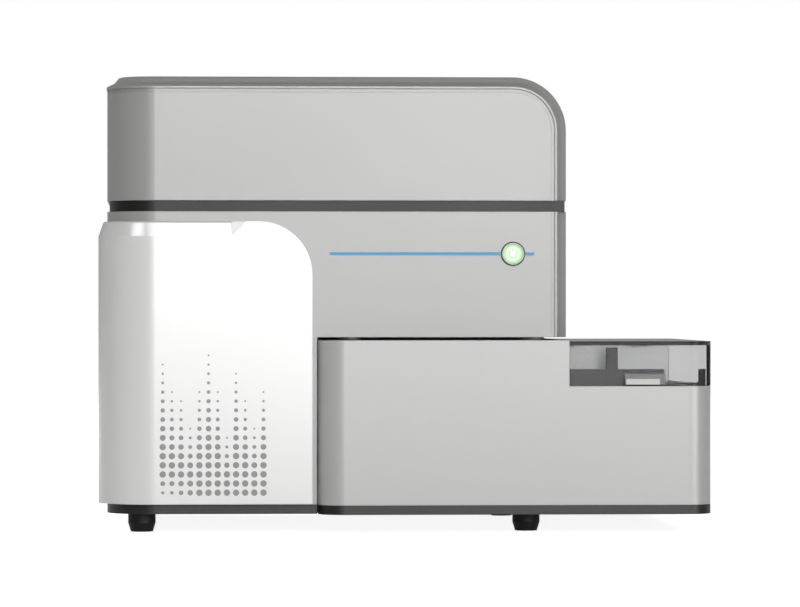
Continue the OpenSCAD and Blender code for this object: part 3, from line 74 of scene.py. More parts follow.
# sockets of a Mix node that mixes colours
mixFactor, mixFirst, mixSecond, mixResult = 0, 6, 7, 2
white = (1, 1, 1, 1)


def shaderNode(tree, kind, **values):
    # adds a shader node and fills its settings and sockets by name
    node = tree.nodes.new(kind)
    for key, value in values.items():
        if key in nodeSettings:
            setattr(node, key, value)
        else:
            node.inputs[key].default_value = value
    return node


def joinTwo(tree, node, first, second):
    tree.links.new(first, node.inputs[0])
    tree.links.new(second, node.inputs[1])
    return node.outputs[0]


def mathOf(tree, operation, first, second):
    return joinTwo(tree, shaderNode(tree, "ShaderNodeMath", operation=operation), first, second)


def oneMinus(tree, value):
    node = shaderNode(tree, "ShaderNodeMath", operation="SUBTRACT")
    node.inputs[0].default_value = 1.0
    tree.links.new(value, node.inputs[1])
    return node.outputs[0]


def colourMix(tree, blend="MIX"):
    return shaderNode(tree, "ShaderNodeMix", data_type="RGBA", blend_type=blend)


def mixShaders(tree, factor, first, second):
    mix = tree.nodes.new("ShaderNodeMixShader")
    for socket, source in zip(mix.inputs, (factor, first, second)):
        tree.links.new(source, socket)
    return mix.outputs[0]


def seenDirectly(tree, path):
    # 1 for what the camera sees, also through something clear
    return mathOf(tree, "MAXIMUM", path.outputs["Is Camera Ray"], path.outputs["Is Transmission Ray"])


def buildCamera(scene):
    camData = bpy.data.cameras.new("studioCamera")
    camData.lens = studio["lens"]
    camData.sensor_width = studio["sensor"]
    camData.clip_start, camData.clip_end = studio["clip"]
    cam = bpy.data.objects.new("studioCamera", camData)
    cam.location = studio["cameraAt"]
    cam.rotation_euler = (math.radians(90), 0, -math.radians(studio["cameraTurn"]))
    scene.collection.objects.link(cam)
    scene.camera = cam


def buildLamps(scene):
    for name, box in softBoxes.items():
        lampData = bpy.data.lights.new(name, "AREA")
        lampData.shape = "RECTANGLE"
        lampData.size, lampData.size_y = box["size"]
        lampData.energy = box["watts"]
        lamp = bpy.data.objects.new(name, lampData)
        lamp.visible_diffuse = box["lights"]
        lamp.visible_glossy = box["mirrors"]
        lamp.location = box["at"]
        aim = Vector(studio["lampsAimAt"]) - Vector(box["at"])
        lamp.rotation_euler = aim.to_track_quat("-Z", "Z").to_euler()
        scene.collection.objects.link(lamp)


def buildSky(scene):
    # dim for what it lights, a little more in reflections, and white where it is seen
    world = bpy.data.worlds.new("studioWorld")
    scene.world = world
    world.use_nodes = True
    tree = world.node_tree
    tree.nodes.clear()
    path = tree.nodes.new("ShaderNodeLightPath")
    out = tree.nodes.new("ShaderNodeOutputWorld")
    dim, gloss, bright = [shaderNode(tree, "ShaderNodeBackground", Color=white, Strength=level).outputs[0]
                          for level in (studio["skyDiffuse"], studio["skyGlossy"], 1.0)]
    unseen = mixShaders(tree, path.outputs["Is Glossy Ray"], dim, gloss)
    tree.links.new(mixShaders(tree, seenDirectly(tree, path), unseen, bright), out.inputs[0])


def buildFloor(scene):
    # plain to the light, lifted to white where it is seen, so that only the shadow is left
    bm = bmesh.new()
    bmesh.ops.create_grid(bm, x_segments=1, y_segments=1, size=studio["floorHalf"])
    mesh = bpy.data.meshes.new("floor")
    bm.to_mesh(mesh)
    bm.free()
    floor = bpy.data.objects.new("floor", mesh)
    scene.collection.objects.link(floor)
    mat = bpy.data.materials.new("floorPale")
    mat.use_nodes = True
    tree = mat.node_tree
    tree.nodes.clear()
    out = tree.nodes.new("ShaderNodeOutputMaterial")
    path = tree.nodes.new("ShaderNodeLightPath")
    lit = shaderNode(tree, "ShaderNodeBsdfDiffuse", Color=studio["floorColour"]).outputs[0]
    lifted, mirrored = [
        joinTwo(tree, tree.nodes.new("ShaderNodeAddShader"), lit,
                shaderNode(tree, "ShaderNodeEmission", Color=white, Strength=level).outputs[0])
        for level in (studio["floorLift"], studio["floorGloss"])]
    unseen = mixShaders(tree, path.outputs["Is Glossy Ray"], lit, mirrored)
    tree.links.new(mixShaders(tree, seenDirectly(tree, path), unseen, lifted), out.inputs[0])
    mesh.materials.append(mat)


def buildStudio():
    scene = bpy.context.scene
    scene.view_settings.view_transform = "Standard"
    buildCamera(scene)
    buildLamps(scene)
    buildSky(scene)
    buildFloor(scene)
    print("studio ready")


buildStudio()

# shader groups that several finishes share
grainOutputs = [("Height", "NodeSocketFloat"), ("Tint", "NodeSocketFloat"), ("Spread", "NodeSocketFloat")]
patternRange = {"From Min": 0.1, "From Max": 0.9}      # where a noise pattern mostly lies


def newGroup(name, ins, outs):
    group = bpy.data.node_groups.new(name, "ShaderNodeTree")
    for label, kind, value in ins:
        socket = group.interface.new_socket(name=label, in_out="INPUT", socket_type=kind)
        socket.default_value = value
    for label, kind in outs:
        group.interface.new_socket(name=label, in_out="OUTPUT", socket_type=kind)
    return group, group.nodes.new("NodeGroupInput"), group.nodes.new("NodeGroupOutput")


def mottledTint(group, gin, pattern):
    # turns a pattern into a tint between 1 less the mottle and 1
    tint = shaderNode(group, "ShaderNodeMapRange", **patternRange)
    tint.inputs["To Max"].default_value = 1.0
    group.links.new(pattern, tint.inputs["Value"])
    group.links.new(oneMinus(group, gin.outputs["Mottle"]), tint.inputs["To Min"])
    return tint.outputs["Result"]


def mouldedGrain():
    # fine grain and broad mottling, as on sprayed or moulded surfaces
    group, gin, gout = newGroup(
        "mouldedGrain",
        [("Grain Scale", "NodeSocketFloat", 900.0), ("Mottle Scale", "NodeSocketFloat", 14.0),
         ("Mottle", "NodeSocketFloat", 0.04)],
        grainOutputs)
    coord = group.nodes.new("ShaderNodeTexCoord")
    grain = shaderNode(group, "ShaderNodeTexNoise", Detail=3.0, Roughness=0.6)
    broad = shaderNode(group, "ShaderNodeTexNoise", Detail=4.0, Roughness=0.55)
    link = group.links.new
    link(coord.outputs["Object"], grain.inputs["Vector"])
    link(coord.outputs["Object"], broad.inputs["Vector"])
    link(gin.outputs["Grain Scale"], grain.inputs["Scale"])
    link(gin.outputs["Mottle Scale"], broad.inputs["Scale"])
    link(grain.outputs["Fac"], gout.inputs["Height"])
    link(mottledTint(group, gin, broad.outputs["Fac"]), gout.inputs["Tint"])
    link(broad.outputs["Fac"], gout.inputs["Spread"])
    return group


def brushedGrain():
    # long fine scratches along one axis, set by the stretch
    group, gin, gout = newGroup(
        "brushedGrain",
        [("Stretch", "NodeSocketVector", (4.0, 900.0, 900.0)), ("Mottle", "NodeSocketFloat", 0.06)],
        grainOutputs)
    coord = group.nodes.new("ShaderNodeTexCoord")
    turn = group.nodes.new("ShaderNodeMapping")
    lines = shaderNode(group, "ShaderNodeTexNoise", Scale=1.0, Detail=4.0, Roughness=0.65)
    link = group.links.new
    link(coord.outputs["Object"], turn.inputs["Vector"])
    link(gin.outputs["Stretch"], turn.inputs["Scale"])
    link(turn.outputs[0], lines.inputs["Vector"])
    link(lines.outputs["Fac"], gout.inputs["Height"])
    link(mottledTint(group, gin, lines.outputs["Fac"]), gout.inputs["Tint"])
    link(lines.outputs["Fac"], gout.inputs["Spread"])
    return group


def wornEdge():
    # rounds an edge in the shading and gives a mask for wear along it
    group, gin, gout = newGroup(
        "wornEdge",
        [("Radius", "NodeSocketFloat", 0.0006), ("Wear", "NodeSocketFloat", 0.5),
         ("Patch Scale", "NodeSocketFloat", 60.0)],
        [("Mask", "NodeSocketFloat"), ("Normal", "NodeSocketVector")])
    bevel = shaderNode(group, "ShaderNodeBevel", samples=4)
    face = group.nodes.new("ShaderNodeNewGeometry")
    coord = group.nodes.new("ShaderNodeTexCoord")
    patch = shaderNode(group, "ShaderNodeTexNoise", Detail=5.0, Roughness=0.7)
    dot = shaderNode(group, "ShaderNodeVectorMath", operation="DOT_PRODUCT")
    rim = shaderNode(group, "ShaderNodeMapRange", **{"From Min": 0.985, "From Max": 0.86})
    broken = shaderNode(group, "ShaderNodeMapRange", **{"From Min": 0.42, "From Max": 0.62})
    link = group.links.new
    link(gin.outputs["Radius"], bevel.inputs["Radius"])
    link(bevel.outputs["Normal"], dot.inputs[0])
    link(face.outputs["Normal"], dot.inputs[1])
    link(dot.outputs["Value"], rim.inputs["Value"])
    link(coord.outputs["Object"], patch.inputs["Vector"])
    link(gin.outputs["Patch Scale"], patch.inputs["Scale"])
    link(patch.outputs["Fac"], broken.inputs["Value"])
    both = mathOf(group, "MULTIPLY", rim.outputs["Result"], broken.outputs["Result"])
    link(mathOf(group, "MULTIPLY", both, gin.outputs["Wear"]), gout.inputs["Mask"])
    link(bevel.outputs["Normal"], gout.inputs["Normal"])
    return group


def bandMask():
    # 1 beyond a value of one coordinate, for painted shade on part of a surface
    group, gin, gout = newGroup(
        "bandMask",
        [("Value", "NodeSocketFloat", 0.0), ("Start", "NodeSocketFloat", 0.0),
         ("Soft", "NodeSocketFloat", 0.001)],
        [("Mask", "NodeSocketFloat")])
    ramp = shaderNode(group, "ShaderNodeMapRange", interpolation_type="SMOOTHSTEP")
    top = mathOf(group, "ADD", gin.outputs["Start"], gin.outputs["Soft"])
    link = group.links.new
    link(gin.outputs["Value"], ramp.inputs["Value"])
    link(gin.outputs["Start"], ramp.inputs["From Min"])
    link(top, ramp.inputs["From Max"])
    link(ramp.outputs["Result"], gout.inputs["Mask"])
    return group


def settledDust():
    # a pale, patchy film that lies only on what faces up
    group, gin, gout = newGroup(
        "settledDust",
        [("Amount", "NodeSocketFloat", 0.3), ("Patch Scale", "NodeSocketFloat", 9.0)],
        [("Mask", "NodeSocketFloat")])
    face = group.nodes.new("ShaderNodeNewGeometry")
    apart = group.nodes.new("ShaderNodeSeparateXYZ")
    coord = group.nodes.new("ShaderNodeTexCoord")
    patch = shaderNode(group, "ShaderNodeTexNoise", Detail=6.0, Roughness=0.75)
    upward = shaderNode(group, "ShaderNodeMapRange", **{"From Min": 0.75, "From Max": 0.98})
    link = group.links.new
    link(face.outputs["Normal"], apart.inputs[0])
    link(apart.outputs["Z"], upward.inputs["Value"])
    link(coord.outputs["Object"], patch.inputs["Vector"])
    link(gin.outputs["Patch Scale"], patch.inputs["Scale"])
    both = mathOf(group, "MULTIPLY", upward.outputs["Result"], patch.outputs["Fac"])
    link(mathOf(group, "MULTIPLY", both, gin.outputs["Amount"]), gout.inputs["Mask"])
    return group


grainGroup = mouldedGrain()
brushGroup = brushedGrain()
edgeGroup = wornEdge()
bandGroup = bandMask()
dustGroup = settledDust()
print("shader groups ready")


def grey(level):
    return (level, level, level, 1)


def useGroup(tree, group, **values):
    node = tree.nodes.new("ShaderNodeGroup")
    node.node_tree = group
    for key, value in values.items():
        node.inputs[key].default_value = value
    return node


# what a look has where it says nothing else
finishDefaults = {"metallic": 0.0, "specular": 0.5, "coat": 0.0, "coatRough": 0.1, "roughSpread": 0.04,
                  "grainScale": 900.0, "mottleScale": 14.0, "mottle": 0.04, "edge": 0.0006, "wear": 0.4,
                  "patchScale": 60.0, "bump": 0.15, "bumpDepth": 0.0002, "dust": 0.12}
brushedDefaults = dict(finishDefaults, mottle=0.06)
dustFilm = {"colour": (0.5, 0.49, 0.47, 1), "patchScale": 9.0, "roughens": 0.3}


def newFinish(name, look):
    # one Principled shader with grain, mottling, soft edges, wear and dust
    brushed = "stretch" in look
    look = {**(brushedDefaults if brushed else finishDefaults), **look}
    mat = bpy.data.materials.new(name)
    mat.use_nodes = True
    tree = mat.node_tree
    link = tree.links.new
    bsdf = tree.nodes["Principled BSDF"]
    bsdf.inputs["Metallic"].default_value = look["metallic"]
    bsdf.inputs["Specular IOR Level"].default_value = look["specular"]
    bsdf.inputs["Coat Weight"].default_value = look["coat"]
    bsdf.inputs["Coat Roughness"].default_value = look["coatRough"]
    if brushed:
        grain = useGroup(tree, brushGroup, Stretch=look["stretch"], Mottle=look["mottle"])
    else:
        grain = useGroup(tree, grainGroup, **{"Grain Scale": look["grainScale"],
                                              "Mottle Scale": look["mottleScale"], "Mottle": look["mottle"]})
    edge = useGroup(tree, edgeGroup, **{"Radius": look["edge"], "Wear": look["wear"],
                                        "Patch Scale": look["patchScale"]})
    dust = useGroup(tree, dustGroup, **{"Amount": look["dust"], "Patch Scale": dustFilm["patchScale"]})
    tinted = colourMix(tree, "MULTIPLY")
    tinted.inputs[mixFactor].default_value = 1.0
    tinted.inputs[mixFirst].default_value = look["colour"]
    worn = colourMix(tree)
    worn.inputs[mixSecond].default_value = look.get("wornColour", look["colour"])
    dusty = colourMix(tree)
    dusty.inputs[mixSecond].default_value = dustFilm["colour"]
    rough = shaderNode(tree, "ShaderNodeMapRange", **patternRange, **{
        "To Min": look["rough"] - look["roughSpread"], "To Max": look["rough"] + look["roughSpread"]})
    duller = shaderNode(tree, "ShaderNodeMath", operation="MULTIPLY_ADD")
    duller.inputs[1].default_value = dustFilm["roughens"]
    bump = shaderNode(tree, "ShaderNodeBump", Strength=look["bump"], Distance=look["bumpDepth"])
    link(grain.outputs["Tint"], tinted.inputs[mixSecond])
    link(edge.outputs["Mask"], worn.inputs[mixFactor])
    link(tinted.outputs[mixResult], worn.inputs[mixFirst])
    link(dust.outputs["Mask"], dusty.inputs[mixFactor])
    link(worn.outputs[mixResult], dusty.inputs[mixFirst])
    link(dusty.outputs[mixResult], bsdf.inputs["Base Color"])
    link(grain.outputs["Spread"], rough.inputs["Value"])
    link(dust.outputs["Mask"], duller.inputs[0])
    link(rough.outputs["Result"], duller.inputs[2])
    link(duller.outputs[0], bsdf.inputs["Roughness"])
    link(grain.outputs["Height"], bump.inputs["Height"])
    link(edge.outputs["Normal"], bump.inputs["Normal"])
    link(bump.outputs["Normal"], bsdf.inputs["Normal"])
    return mat


caseLook = {"colour": (0.40, 0.40, 0.395, 1), "rough": 0.31, "roughSpread": 0.03, "specular": 1.0,
            "grainScale": 1400.0, "bump": 0.10, "bumpDepth": 0.0001, "mottle": 0.02, "mottleScale": 5.0,
            "edge": 0.0008, "wear": 0.25, "wornColour": (0.5, 0.5, 0.49, 1)}
doorLook = {"colour": (0.95, 0.95, 0.945, 1), "rough": 0.24, "roughSpread": 0.02, "specular": 1.0,
            "coat": 0.8, "coatRough": 0.2, "dust": 0.0,
            "grainScale": 1100.0, "bump": 0.05, "bumpDepth": 0.0001, "mottle": 0.01, "mottleScale": 5.0,
            "edge": 0.0012, "wear": 0.1, "wornColour": (0.8, 0.79, 0.76, 1)}
plinthLook = {"colour": grey(0.006), "rough": 0.34, "specular": 0.44, "grainScale": 1200.0, "bump": 0.25,
              "mottle": 0.15, "edge": 0.0009, "wear": 0.35, "wornColour": grey(0.12)}
rubberLook = {"colour": grey(0.006), "rough": 0.5, "specular": 0.3, "grainScale": 700.0, "bump": 0.3,
              "mottle": 0.2, "edge": 0.0012, "wear": 0.3, "wornColour": grey(0.05)}
seamLook = {"colour": grey(0.004), "rough": 0.34, "specular": 0.32, "grainScale": 1500.0, "bump": 0.2,
            "mottle": 0.1, "edge": 0.0006, "wear": 0.2, "wornColour": grey(0.05)}
# one look for each paint, metal and plastic of the frame's pieces
finishLooks = {
    "plinth_dark": plinthLook,
    "rubber_black": rubberLook,
    "chassis_sheet": {"colour": (0.56, 0.57, 0.59, 1), "rough": 0.4, "metallic": 0.85,
                      "stretch": (6, 500, 500), "bump": 0.12, "edge": 0.0005,
                      "wear": 0.3, "wornColour": grey(0.75)},
    "case_paint": caseLook,
    "seam_black": seamLook,
    "hinge_steel": {"colour": (0.32, 0.33, 0.34, 1), "rough": 0.38, "metallic": 1.0, "stretch": (8, 700, 700),
                    "bump": 0.15, "edge": 0.0006, "wear": 0.6, "wornColour": grey(0.6)},
    "pin_steel": {"colour": (0.6, 0.61, 0.62, 1), "rough": 0.22, "metallic": 1.0, "stretch": (10, 900, 900),
                  "bump": 0.06, "edge": 0.0003, "wear": 0.3, "wornColour": grey(0.8)},
    "door_white": doorLook,
    "bezel_chrome": {"colour": (0.15, 0.15, 0.155, 1), "rough": 0.22, "metallic": 1.0, "grainScale": 2000.0,
                     "bump": 0.02, "edge": 0.0003, "wear": 0.2, "wornColour": grey(0.8)},
    "deck_aluminium": {"colour": (0.42, 0.44, 0.46, 1), "rough": 0.45, "metallic": 0.9, "grainScale": 2200.0,
                       "bump": 0.3, "mottle": 0.08, "edge": 0.0006, "wear": 0.6, "wornColour": grey(0.75)},
    "optic_black": {"colour": (0.032, 0.033, 0.037, 1), "rough": 0.42, "specular": 0.5, "grainScale": 1600.0,
                    "bump": 0.3, "mottle": 0.1, "edge": 0.0005, "wear": 0.7, "wornColour": grey(0.25)},
    "mirror_glass": {"colour": (0.045, 0.047, 0.052, 1), "rough": 0.33, "metallic": 0.6, "grainScale": 1600.0,
                     "bump": 0.1, "edge": 0.0005, "wear": 0.5, "wornColour": grey(0.4)},
    "block_metal": {"colour": (0.48, 0.49, 0.51, 1), "rough": 0.36, "metallic": 0.95,
                    "stretch": (500, 6, 500), "bump": 0.12, "edge": 0.0006,
                    "wear": 0.5, "wornColour": grey(0.8)},
    "filter_black": {"colour": (0.04, 0.042, 0.048, 1), "rough": 0.42, "metallic": 0.5, "grainScale": 1600.0,
                     "bump": 0.2, "edge": 0.0005, "wear": 0.7, "wornColour": grey(0.4)},
    "bulkhead_sheet": {"colour": (0.6, 0.61, 0.62, 1), "rough": 0.42, "metallic": 0.8,
                       "stretch": (500, 500, 6), "bump": 0.12, "edge": 0.0005,
                       "wear": 0.3, "wornColour": grey(0.8)},
    "pump_light": {"colour": (0.66, 0.67, 0.68, 1), "rough": 0.42, "grainScale": 1300.0, "bump": 0.2,
                   "edge": 0.001, "wear": 0.3, "wornColour": grey(0.5)},
    "rotor_dark": {"colour": (0.03, 0.031, 0.036, 1), "rough": 0.4, "grainScale": 1300.0, "bump": 0.2,
                   "edge": 0.0005, "wear": 0.4, "wornColour": grey(0.12)},
    "valve_grey": {"colour": (0.22, 0.23, 0.24, 1), "rough": 0.42, "metallic": 0.4, "grainScale": 1300.0,
                   "bump": 0.2, "edge": 0.0006, "wear": 0.5, "wornColour": grey(0.4)},
    "filter_clear": {"colour": (0.8, 0.83, 0.85, 1), "rough": 0.33, "coat": 0.4, "grainScale": 900.0,
                     "bump": 0.08, "edge": 0.001, "wear": 0.1, "wornColour": grey(0.9)},
    "line_clear": {"colour": (0.78, 0.8, 0.8, 1), "rough": 0.2, "coat": 0.3, "grainScale": 900.0,
                   "bump": 0.05, "edge": 0.0003, "wear": 0.1, "wornColour": grey(0.85)},
    "board_green": {"colour": (0.012, 0.13, 0.05, 1), "rough": 0.35, "coat": 0.3, "grainScale": 1500.0,
                    "bump": 0.1, "edge": 0.0003, "wear": 0.4, "wornColour": (0.3, 0.3, 0.15, 1)},
    "supply_sheet": {"colour": (0.46, 0.47, 0.49, 1), "rough": 0.4, "metallic": 0.9, "stretch": (6, 500, 500),
                     "bump": 0.1, "edge": 0.0005, "wear": 0.4, "wornColour": grey(0.75)},
    "fan_black": {"colour": grey(0.018), "rough": 0.45, "grainScale": 1300.0, "bump": 0.2,
                  "edge": 0.0005, "wear": 0.3, "wornColour": grey(0.08)},
    "inlet_black": {"colour": grey(0.014), "rough": 0.38, "grainScale": 1500.0, "bump": 0.15,
                    "edge": 0.0005, "wear": 0.3, "wornColour": grey(0.07)},
    "port_metal": {"colour": (0.52, 0.53, 0.55, 1), "rough": 0.34, "metallic": 0.95, "stretch": (500, 500, 8),
                   "bump": 0.1, "edge": 0.0004, "wear": 0.4, "wornColour": grey(0.8)},
    "loader_paint": dict(caseLook, colour=(0.56, 0.56, 0.555, 1)),
    "liner_dark": {"colour": grey(0.085), "rough": 0.5, "specular": 0.06, "grainScale": 1300.0, "bump": 0.25,
                   "mottle": 0.1, "edge": 0.0008, "wear": 0.3, "wornColour": grey(0.12)},
    "latch_light": {"colour": (0.9, 0.9, 0.88, 1), "rough": 0.4, "specular": 0.15, "grainScale": 1300.0,
                    "bump": 0.15, "edge": 0.0006, "wear": 0.2, "wornColour": grey(0.5)},
    "rail_steel": {"colour": (0.46, 0.47, 0.49, 1), "rough": 0.32, "metallic": 1.0, "stretch": (5, 900, 900),
                   "bump": 0.1, "edge": 0.0005, "wear": 0.5, "wornColour": grey(0.8)},
    "carriage_aluminium": {"colour": (0.5, 0.51, 0.53, 1), "rough": 0.38, "metallic": 0.95,
                           "stretch": (6, 600, 600), "bump": 0.12, "edge": 0.0005, "wear": 0.5,
                           "wornColour": grey(0.8)},
    "rack_blue": {"colour": (0.035, 0.14, 0.36, 1), "rough": 0.45, "grainScale": 1200.0, "bump": 0.25,
                  "edge": 0.0008, "wear": 0.3, "wornColour": (0.15, 0.28, 0.5, 1)},
    "belt_black": {"colour": grey(0.014), "rough": 0.6, "grainScale": 1500.0, "bump": 0.3,
                   "edge": 0.0003, "wear": 0.2, "wornColour": grey(0.06)},
    "pulley_metal": {"colour": (0.56, 0.57, 0.59, 1), "rough": 0.33, "metallic": 1.0, "grainScale": 1800.0,
                     "bump": 0.1, "edge": 0.0004, "wear": 0.5, "wornColour": grey(0.8)},
    "motor_dark": {"colour": (0.02, 0.021, 0.024, 1), "rough": 0.4, "metallic": 0.2, "grainScale": 1300.0,
                   "bump": 0.2, "edge": 0.0006, "wear": 0.5, "wornColour": grey(0.2)},
    "probe_dark": {"colour": (0.06, 0.065, 0.072, 1), "rough": 0.4, "metallic": 0.4, "grainScale": 1400.0,
                   "bump": 0.2, "edge": 0.0005, "wear": 0.5, "wornColour": grey(0.35)},
    "sensor_black": {"colour": grey(0.08), "rough": 0.5, "specular": 0.1, "grainScale": 1300.0, "bump": 0.2,
                     "edge": 0.0006, "wear": 0.3, "wornColour": grey(0.08)},
}
finishes = {name: newFinish(name, look) for name, look in finishLooks.items()}

# what all the clear mouldings share
clearShared = {"coat": 0.4, "coatRough": 0.04, "roughGrows": 1.6, "bandDepthSoft": 0.004, "paintedShadeBands": (),
               "grain": {"Grain Scale": 500.0, "Mottle Scale": 8.0, "Mottle": 0.04},
               "grainRange": {"From Min": 0.3, "From Max": 0.7}}


def paintShadeBeyond(tree, colour, axis, start, soft, shade, onlyBefore=None):
    # painted shade: a darker tone beyond a plane, and with onlyBefore just in front of that Y
    apart = tree.nodes.new("ShaderNodeSeparateXYZ")
    tree.links.new(tree.nodes.new("ShaderNodeTexCoord").outputs["Object"], apart.inputs[0])
    band = useGroup(tree, bandGroup, Start=start, Soft=soft)
    tree.links.new(apart.outputs[axis], band.inputs["Value"])
    mask = band.outputs["Mask"]
    if onlyBefore is not None:
        depth = useGroup(tree, bandGroup, Start=onlyBefore, Soft=clearShared["bandDepthSoft"])
        tree.links.new(apart.outputs["Y"], depth.inputs["Value"])
        mask = mathOf(tree, "MULTIPLY", mask, oneMinus(tree, depth.outputs["Mask"]))
    shadedColour = colourMix(tree)
    shadedColour.inputs[mixSecond].default_value = shade
    tree.links.new(mask, shadedColour.inputs[mixFactor])
    tree.links.new(colour, shadedColour.inputs[mixFirst])
    return shadedColour.outputs[mixResult]


# painted shade: the latch is light in front, and its top and rear behind this Y are painted dark as if in
# shadow
latchPaintedShade = {"axis": "Y", "start": -0.2219, "soft": 0.0003, "shade": grey(0.08)}


def paintLatchShade():
    tree = finishes["latch_light"].node_tree
    base = tree.nodes["Principled BSDF"].inputs["Base Color"]
    tree.links.new(paintShadeBeyond(tree, base.links[0].from_socket, **latchPaintedShade), base)


paintLatchShade()

# each painted shade band, dark where the clear cover shows shade: axis, start, soft width, shade, and the Y
# that it stays in front of
coverLook = {"tint": (0.99, 0.99, 0.993, 1), "rough": 0.02, "shadowTint": grey(0.85), "ior": 1.04,
             "coat": 0.1,
             "paintedShadeBands": [("X", 0.3046, 0.0006, grey(0.6), None),
                           ("X", 0.3026, 0.0006, grey(0.01), -0.196),
                           ("Z", 0.1883, 0.0006, grey(0.17), None),
                           ("Z", 0.1883, 0.0006, grey(0.03), -0.2215)]}
cuvetteLook = {"tint": (0.93, 0.97, 0.98, 1), "rough": 0.01, "shadowTint": grey(0.9), "ior": 1.4}
tubeLook = {"tint": (0.95, 0.96, 0.97, 1), "rough": 0.04, "shadowTint": grey(0.9), "ior": 1.2}


def clearFinish(name, look):
    # clear moulding: light passes nearly straight; painted shade bands darken the colour where edges are seen
    # end on and where shade is seen through it
    look = {**clearShared, **look}
    mat = bpy.data.materials.new(name)
    mat.use_nodes = True
    tree = mat.node_tree
    link = tree.links.new
    bsdf = tree.nodes["Principled BSDF"]
    bsdf.inputs["Transmission Weight"].default_value = 1.0
    bsdf.inputs["IOR"].default_value = look["ior"]
    bsdf.inputs["Coat Weight"].default_value = look["coat"]
    bsdf.inputs["Coat Roughness"].default_value = look["coatRough"]
    grain = useGroup(tree, grainGroup, **look["grain"])
    tinted = colourMix(tree, "MULTIPLY")
    tinted.inputs[mixFactor].default_value = 1.0
    tinted.inputs[mixFirst].default_value = look["tint"]
    spread = shaderNode(tree, "ShaderNodeMapRange", **look["grainRange"], **{
        "To Min": look["rough"], "To Max": look["rough"] * look["roughGrows"]})
    through = shaderNode(tree, "ShaderNodeBsdfTransparent", Color=look["shadowTint"])
    path = tree.nodes.new("ShaderNodeLightPath")
    link(grain.outputs["Tint"], tinted.inputs[mixSecond])
    colour = tinted.outputs[mixResult]
    # painted shade: each band darkens the colour beyond its plane
    for band in look["paintedShadeBands"]:
        colour = paintShadeBeyond(tree, colour, *band)
    link(colour, bsdf.inputs["Base Color"])
    link(grain.outputs["Spread"], spread.inputs["Value"])
    link(spread.outputs["Result"], bsdf.inputs["Roughness"])
    either = mathOf(tree, "MAXIMUM", path.outputs["Is Shadow Ray"], path.outputs["Is Diffuse Ray"])
    link(mixShaders(tree, either, bsdf.outputs[0], through.outputs[0]),
         tree.nodes["Material Output"].inputs[0])
    return mat


finishes["cover_clear"] = clearFinish("cover_clear", coverLook)
finishes["cuvette_glass"] = clearFinish("cuvette_glass", cuvetteLook)
finishes["tube_clear"] = clearFinish("tube_clear", tubeLook)

litLook = {"rough": 0.35, "grainScale": 900.0, "bump": 0.05, "mottle": 0.03, "edge": 0.0003, "wear": 0.0}


def litFinish(name, colour, strength, glow):
    # plastic that is lit from behind
    mat = newFinish(name, dict(litLook, colour=colour))
    bsdf = mat.node_tree.nodes["Principled BSDF"]
    bsdf.inputs["Emission Color"].default_value = glow
    bsdf.inputs["Emission Strength"].default_value = strength
    return mat


finishes["button_lit"] = litFinish("button_lit", (0.3, 0.62, 0.24, 1), 0.5, (0.42, 1.0, 0.34, 1))
finishes["buttonWhite"] = litFinish("buttonWhite", (0.8, 0.82, 0.78, 1), 0.35, white)

slotOf = {p["node"]: p["material_slot"] for p in frame["record"]["subparts"]}
for nodeName, obj in nodes.items():
    obj.data.materials.clear()
    obj.data.materials.append(finishes[slotOf[nodeName]])
print("finishes on", len(nodes), "nodes")


def finishPiece(bm, name, finish, body, sharp=35):
    # turns a bmesh into a named piece on its body; edges over the sharp angle stay crisp
    bmesh.ops.recalc_face_normals(bm, faces=bm.faces)
    mesh = bpy.data.meshes.new(name)
    bm.to_mesh(mesh)
    bm.free()
    for face in mesh.polygons:
        face.use_smooth = True
    mesh.set_sharp_from_angle(angle=math.radians(sharp))
    obj = bpy.data.objects.new(name, mesh)
    bpy.context.scene.collection.objects.link(obj)
    mesh.materials.append(finish)
    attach(obj, body)
    return obj


def facing(axis):
    # turns local +Z towards a row axis
    return Vector((0, 0, 1)).rotation_difference(Vector(axis)).to_matrix().to_4x4()


def edgesAt(verts):
    # every edge that meets these vertices, once each
    return list(dict.fromkeys(e for v in verts for e in v.link_edges))


def growLoop(bm, loop):
    # extrudes a loop of edges where it lies, to be moved next
    made = bmesh.ops.extrude_edge_only(bm, edges=loop)["geom"]
    return ([g for g in made if isinstance(g, bmesh.types.BMVert)],
            [g for g in made if isinstance(g, bmesh.types.BMEdge)])


def addBlock(bm, lo, hi, soften=0.0):
    lo, hi = Vector(lo), Vector(hi)
    spot = Matrix.Translation((lo + hi) / 2) @ Matrix.Diagonal((*(hi - lo), 1))
    made = bmesh.ops.create_cube(bm, size=1, matrix=spot)
    if soften > 0:
        bmesh.ops.bevel(bm, geom=edgesAt(made["verts"]), offset=soften, segments=1, profile=0.5,
                        affect="EDGES", material=-1)


def addDisc(bm, place, axis, radius, depth, segments=20, taper=0.94, sink=0.1 * mm):
    # a low printed or moulded dot that sinks a little into its seat
    spot = Matrix.Translation(Vector(place) + Vector(axis) * (depth / 2 - sink)) @ facing(axis)
    bmesh.ops.create_cone(bm, cap_ends=True, cap_tris=False, segments=segments, radius1=radius,
                          radius2=radius * taper, depth=depth, matrix=spot)


stripe = {"from": (-76.3, 278.9), "to": (130.2, 282.1), "bezelLeft": 96.2, "bezelRight": 121.4,
          "faceY": -198.0, "proud": 0.3, "sink": 0.05, "soften": 0.12}
stripeLook = {"colour": (0.18, 0.57, 0.93, 1), "rough": 0.5, "specular": 0.1, "grainScale": 1500.0,
              "bump": 0.05, "mottle": 0.02, "edge": 0.0002, "wear": 0.0}


